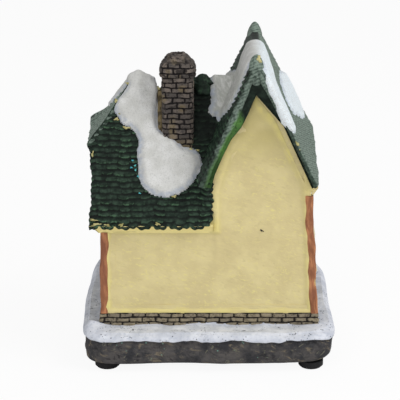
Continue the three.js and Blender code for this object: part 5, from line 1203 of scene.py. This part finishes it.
def build_base():
    """The rock base as a loop carried round: up the well for the light insert, out under the top, down
    the rocky side, round its lower edge and back under to the well."""
    side_top = 14
    t = np.arange(460)[:, None] / 460
    c = np.cos(t * 2 * math.pi)
    soft = 3.4 + 1.3 * ease(-c, 0.4, 0.8) - 1.2 * ease(c, 0.4, 0.8)
    bend = np.linspace(0, math.pi / 2, 14)[None, 1:]
    side_z = side_top + (BASE_BOTTOM + soft - side_top) * np.linspace(0, 1, 30)[None, :]
    steps = [(-2.2, BASE_TOP - 0.9), (-0.9, BASE_TOP - 1.1), (-0.35 * np.exp(side_z - side_top), side_z),
             (-soft * (1 - np.cos(bend)), BASE_BOTTOM + soft - soft * np.sin(bend))]
    grow, z = (np.concatenate([step[k] + 0 * t for step in steps], axis=1) for k in (0, 1))
    x, y = base_line(t, grow)
    place = stack(x, y, z)
    rocky = crumple(place * np.array([0.6, 0.6, 1]), 7, 4, 8) * 0.6 + 0.45
    rocky = rocky + 0.5 * ease(crumple(place * np.array([0.4, 0.4, 1.2]), 4, 3, 28), 0.2, 0.8)
    rocky = 1 + rocky * ease(z, 3.0, 4.0) * ease(z, 13.9, 11.2) / np.hypot(x, y)
    well = [stack(*box_line(t, half_x, half_y), level) for half_x, half_y, level in WELL]
    shell = Shell()
    grid = np.concatenate([stack(x * rocky, y * rocky, z), *well], axis=1)
    shell.add_grid(grid, wrap_rows=True, wrap_columns=True)
    shell.finish("rock_base_cast", ROCK, "rock", ["base_slab"])


# Drifts on the base: height, middle and spread in plan
DRIFTS = [(4.6, (-38, -33), (8.5, 7.5)), (3.6, (46, -36), (7, 10)), (1.6, (47, 33), (5, 4))]


def build_ground_snow():
    """Snow round the house as a loop carried round the base: from the plinth over the rim, down to a
    wavy drip line, and back underneath."""
    t = np.arange(620)[:, None] / 620
    angle = t * 2 * math.pi
    reach = np.linspace(0, 1, 60)[None, :]
    in_x, in_y = box_line(t, 43.2, 28.2)
    out_x, out_y = base_line(t, -0.4)
    x, y = in_x + (out_x - in_x) * reach, in_y + (out_y - in_y) * reach
    place = stack(x, y, 0)
    drift = sum(height * bell(x, y, middle, spread) for height, middle, spread in DRIFTS)
    swell = crumple(place, 11, 4, 6) * 0.4 + lumps(place, 2.2, 3) * 0.12
    banked = np.exp(-reach * 9) * (0.2 + 0.9 * lumps(place, 9, 31))
    z = BASE_TOP + 1.1 + banked + swell + drift - 0.7 * ease(reach, 0.86, 1.0)
    ring = stack(60 * np.cos(angle), 60 * np.sin(angle), 0)
    drip = BASE_TOP - 1.9 - 1.0 * crumple(ring, 13, 3, 17) - 0.35 * lumps(ring, 2.6, 8)
    down = np.linspace(0, 1, 14)[None, 1:]
    bulge = np.sin(np.minimum(down * 1.15, 1) * math.pi / 2)
    over_x, over_y = base_line(t, 1.15)
    over_z = z[:, -1:] + (drip - z[:, -1:]) * down
    over = stack(out_x + (over_x - out_x) * bulge, out_y + (over_y - out_y) * bulge, over_z)
    back_x, back_y = base_line(t, -1.2)
    under = [stack(back_x, back_y, drip + 0.3), stack(back_x, back_y, BASE_TOP - 0.4),
             stack(in_x, in_y, BASE_TOP - 0.4)]
    shell = Shell()
    grid = np.concatenate([stack(x, y, z), over, *under], axis=1)
    shell.add_grid(grid, wrap_rows=True, wrap_columns=True)
    shell.finish("ground_snow_lie", GROUND_SNOW, "snow", ["ground_snow"])


def build_cornices():
    """Mouldings under the eaves: a hollow curve from the wall out to the eave, with a plain lip, cut off
    aslant at the east end."""
    low, high, wall_y = 55.2, 59.2, 27.6
    for name, side in (("back_cornice", 1), ("front_cornice", -1)):
        curve = np.linspace(0, 1, 14)[None, :]
        x = -1.6 + (49.0 - 3.6 * (1 - curve)) * np.linspace(0, 1, 120)[:, None]
        y = 28.2 + 3.7 * curve**1.5
        z = low + 3.9 * curve**0.8
        wave = crumple(stack(x, y, z), 5, 3, 2) * 0.16
        inside_y = MIDDLE_Y + side * wall_y
        curved = stack(x, MIDDLE_Y + side * (y + wave), z + wave)
        back, foot = stack(x[:, -1:], inside_y, high), stack(x[:, :1], inside_y, low)
        grid = np.concatenate([curved, back, foot], axis=1)
        shell = Shell()
        shell.add_tube(grid, rim=0.5 + 0 * grid[..., 0], shade=0 * grid[..., 0])
        shell.finish(f"{name}_moulded", LIT_MOULDING, "wall", [name])


def dress_solids():
    """The finish of every solid that is shown as it is; what isn't named here is plated steel."""
    finishes = {
        "house_walls": WALL, "west_cornice": WALL, "door_step": ROCK, "front_door": DOOR_PAINT,
        "door_frame": FRAME_PAINT, "door_knob": BRASS, "door_wreath": WREATH_PAINT,
        "battery_box": BLACK_PLASTIC, "battery_cover": BLACK_PLASTIC, "switch_knob": BLACK_PLASTIC,
        "led_stand": BLACK_PLASTIC, "led": LENS, "led_wire_red": RED_WIRE, "led_wire_black": BLACK_WIRE,
    }
    kinds = {"_window_frame": FRAME_PAINT, "_window_pane": AMBER_PANE, "rubber_foot": RUBBER}
    for name, node in nodes.items():
        by_kind = [finish for part, finish in kinds.items() if part in name]
        node.data.materials.clear()
        node.data.materials.append(finishes.get(name) or (by_kind or [STEEL])[0])


# Room, light and camera

FLOOR_HALF, FLOOR_COLOR, FLOOR_GLOW, SKY_LIGHT = 3.0, 0.82, 0.92, 0.46
LENS_MM, SENSOR_MM, CAMERA_DIP = 170.989, 36, 17.8375
CAMERA_PLACE, LAMP_AIM = (0.003683, 0.744, 0.298), (0, 0, 0.06)


def combine(tree, operation, a, b):
    """A Math node on an output and on another output or a number."""
    node = tree.nodes.new("ShaderNodeMath")
    node.operation = operation
    tree.links.new(a, node.inputs[0])
    if isinstance(b, float):
        node.inputs[1].default_value = b
    else:
        tree.links.new(b, node.inputs[1])
    return node.outputs[0]


def shade_by_ray(tree, share, usual, seen, end):
    """Mixes one shader with a share of another and sends the mix to the tree's end."""
    mix = tree.nodes.new("ShaderNodeMixShader")
    for socket, output in zip(mix.inputs, (share, usual.outputs[0], seen.outputs[0])):
        tree.links.new(output, socket)
    tree.links.new(mix.outputs[0], tree.nodes[end].inputs["Surface"])


def build_floor():
    """A pale floor that the camera sees as nearly white, and that keeps the house's shadow."""
    mesh = bpy.data.meshes.new("floor")
    corners = [(-FLOOR_HALF, -FLOOR_HALF, 0), (FLOOR_HALF, -FLOOR_HALF, 0), (FLOOR_HALF, FLOOR_HALF, 0),
               (-FLOOR_HALF, FLOOR_HALF, 0)]
    mesh.from_pydata(corners, [], [(0, 1, 2, 3)])
    floor = bpy.data.objects.new("floor", mesh)
    bpy.context.scene.collection.objects.link(floor)
    material = bpy.data.materials.new("pale_floor")
    material.use_nodes = True
    tree = material.node_tree
    shader = tree.nodes["Principled BSDF"]
    shader.inputs["Base Color"].default_value = (FLOOR_COLOR, FLOOR_COLOR, FLOOR_COLOR, 1)
    shader.inputs["Roughness"].default_value = 0.9
    rays = tree.nodes.new("ShaderNodeLightPath").outputs
    share = combine(tree, "MULTIPLY", rays["Is Camera Ray"], FLOOR_GLOW)
    shade_by_ray(tree, share, shader, tree.nodes.new("ShaderNodeEmission"), "Material Output")
    mesh.materials.append(material)


def build_sky():
    """An even dim light from all round, which the camera, gloss and glass see as plain white."""
    world = bpy.data.worlds.new("studio")
    bpy.context.scene.world = world
    world.use_nodes = True
    tree = world.node_tree
    sky = tree.nodes["Background"]
    sky.inputs["Color"].default_value = (1, 1, 1, 1)
    sky.inputs["Strength"].default_value = SKY_LIGHT
    white = tree.nodes.new("ShaderNodeBackground")
    white.inputs["Strength"].default_value = 1.0
    rays = tree.nodes.new("ShaderNodeLightPath").outputs
    share = combine(tree, "MAXIMUM", rays["Is Camera Ray"], rays["Is Glossy Ray"])
    share = combine(tree, "MAXIMUM", share, rays["Is Transmission Ray"])
    shade_by_ray(tree, share, sky, white, "World Output")


def add_lamp(name, place, size, power):
    """A square lamp turned to face the house."""
    lamp = bpy.data.lights.new(name, "AREA")
    lamp.size = size
    lamp.energy = power
    holder = bpy.data.objects.new(name, lamp)
    bpy.context.scene.collection.objects.link(holder)
    gap = np.array(LAMP_AIM) - np.array(place)
    holder.location = place
    holder.rotation_euler = (math.atan2(math.hypot(gap[0], gap[1]), -gap[2]), 0, math.atan2(-gap[0], gap[1]))


def build_camera():
    """The photograph's view: from behind the house, a little above, through a long lens."""
    camera = bpy.data.cameras.new("camera")
    camera.sensor_width = SENSOR_MM
    camera.lens = LENS_MM
    holder = bpy.data.objects.new("camera", camera)
    bpy.context.scene.collection.objects.link(holder)
    holder.location = CAMERA_PLACE
    holder.rotation_euler = (math.radians(90 - CAMERA_DIP), 0, math.pi)
    bpy.context.scene.camera = holder


build_main_roof()
build_gable_roof()
build_gable_ridge()
build_main_ridge()
build_roof_snow()
build_back_wall()
build_eave_end()
build_posts()
build_plinth()
build_chimney()
build_flaunching()
build_dabs()
build_base()
build_ground_snow()
build_cornices()
dress_solids()
build_floor()
build_sky()
add_lamp("key", (-0.7, 0.35, 0.75), 0.6, 6.5)
add_lamp("fill", (0.35, 0.8, 0.45), 0.7, 3)
build_camera()
bpy.context.scene.view_settings.view_transform = "Standard"
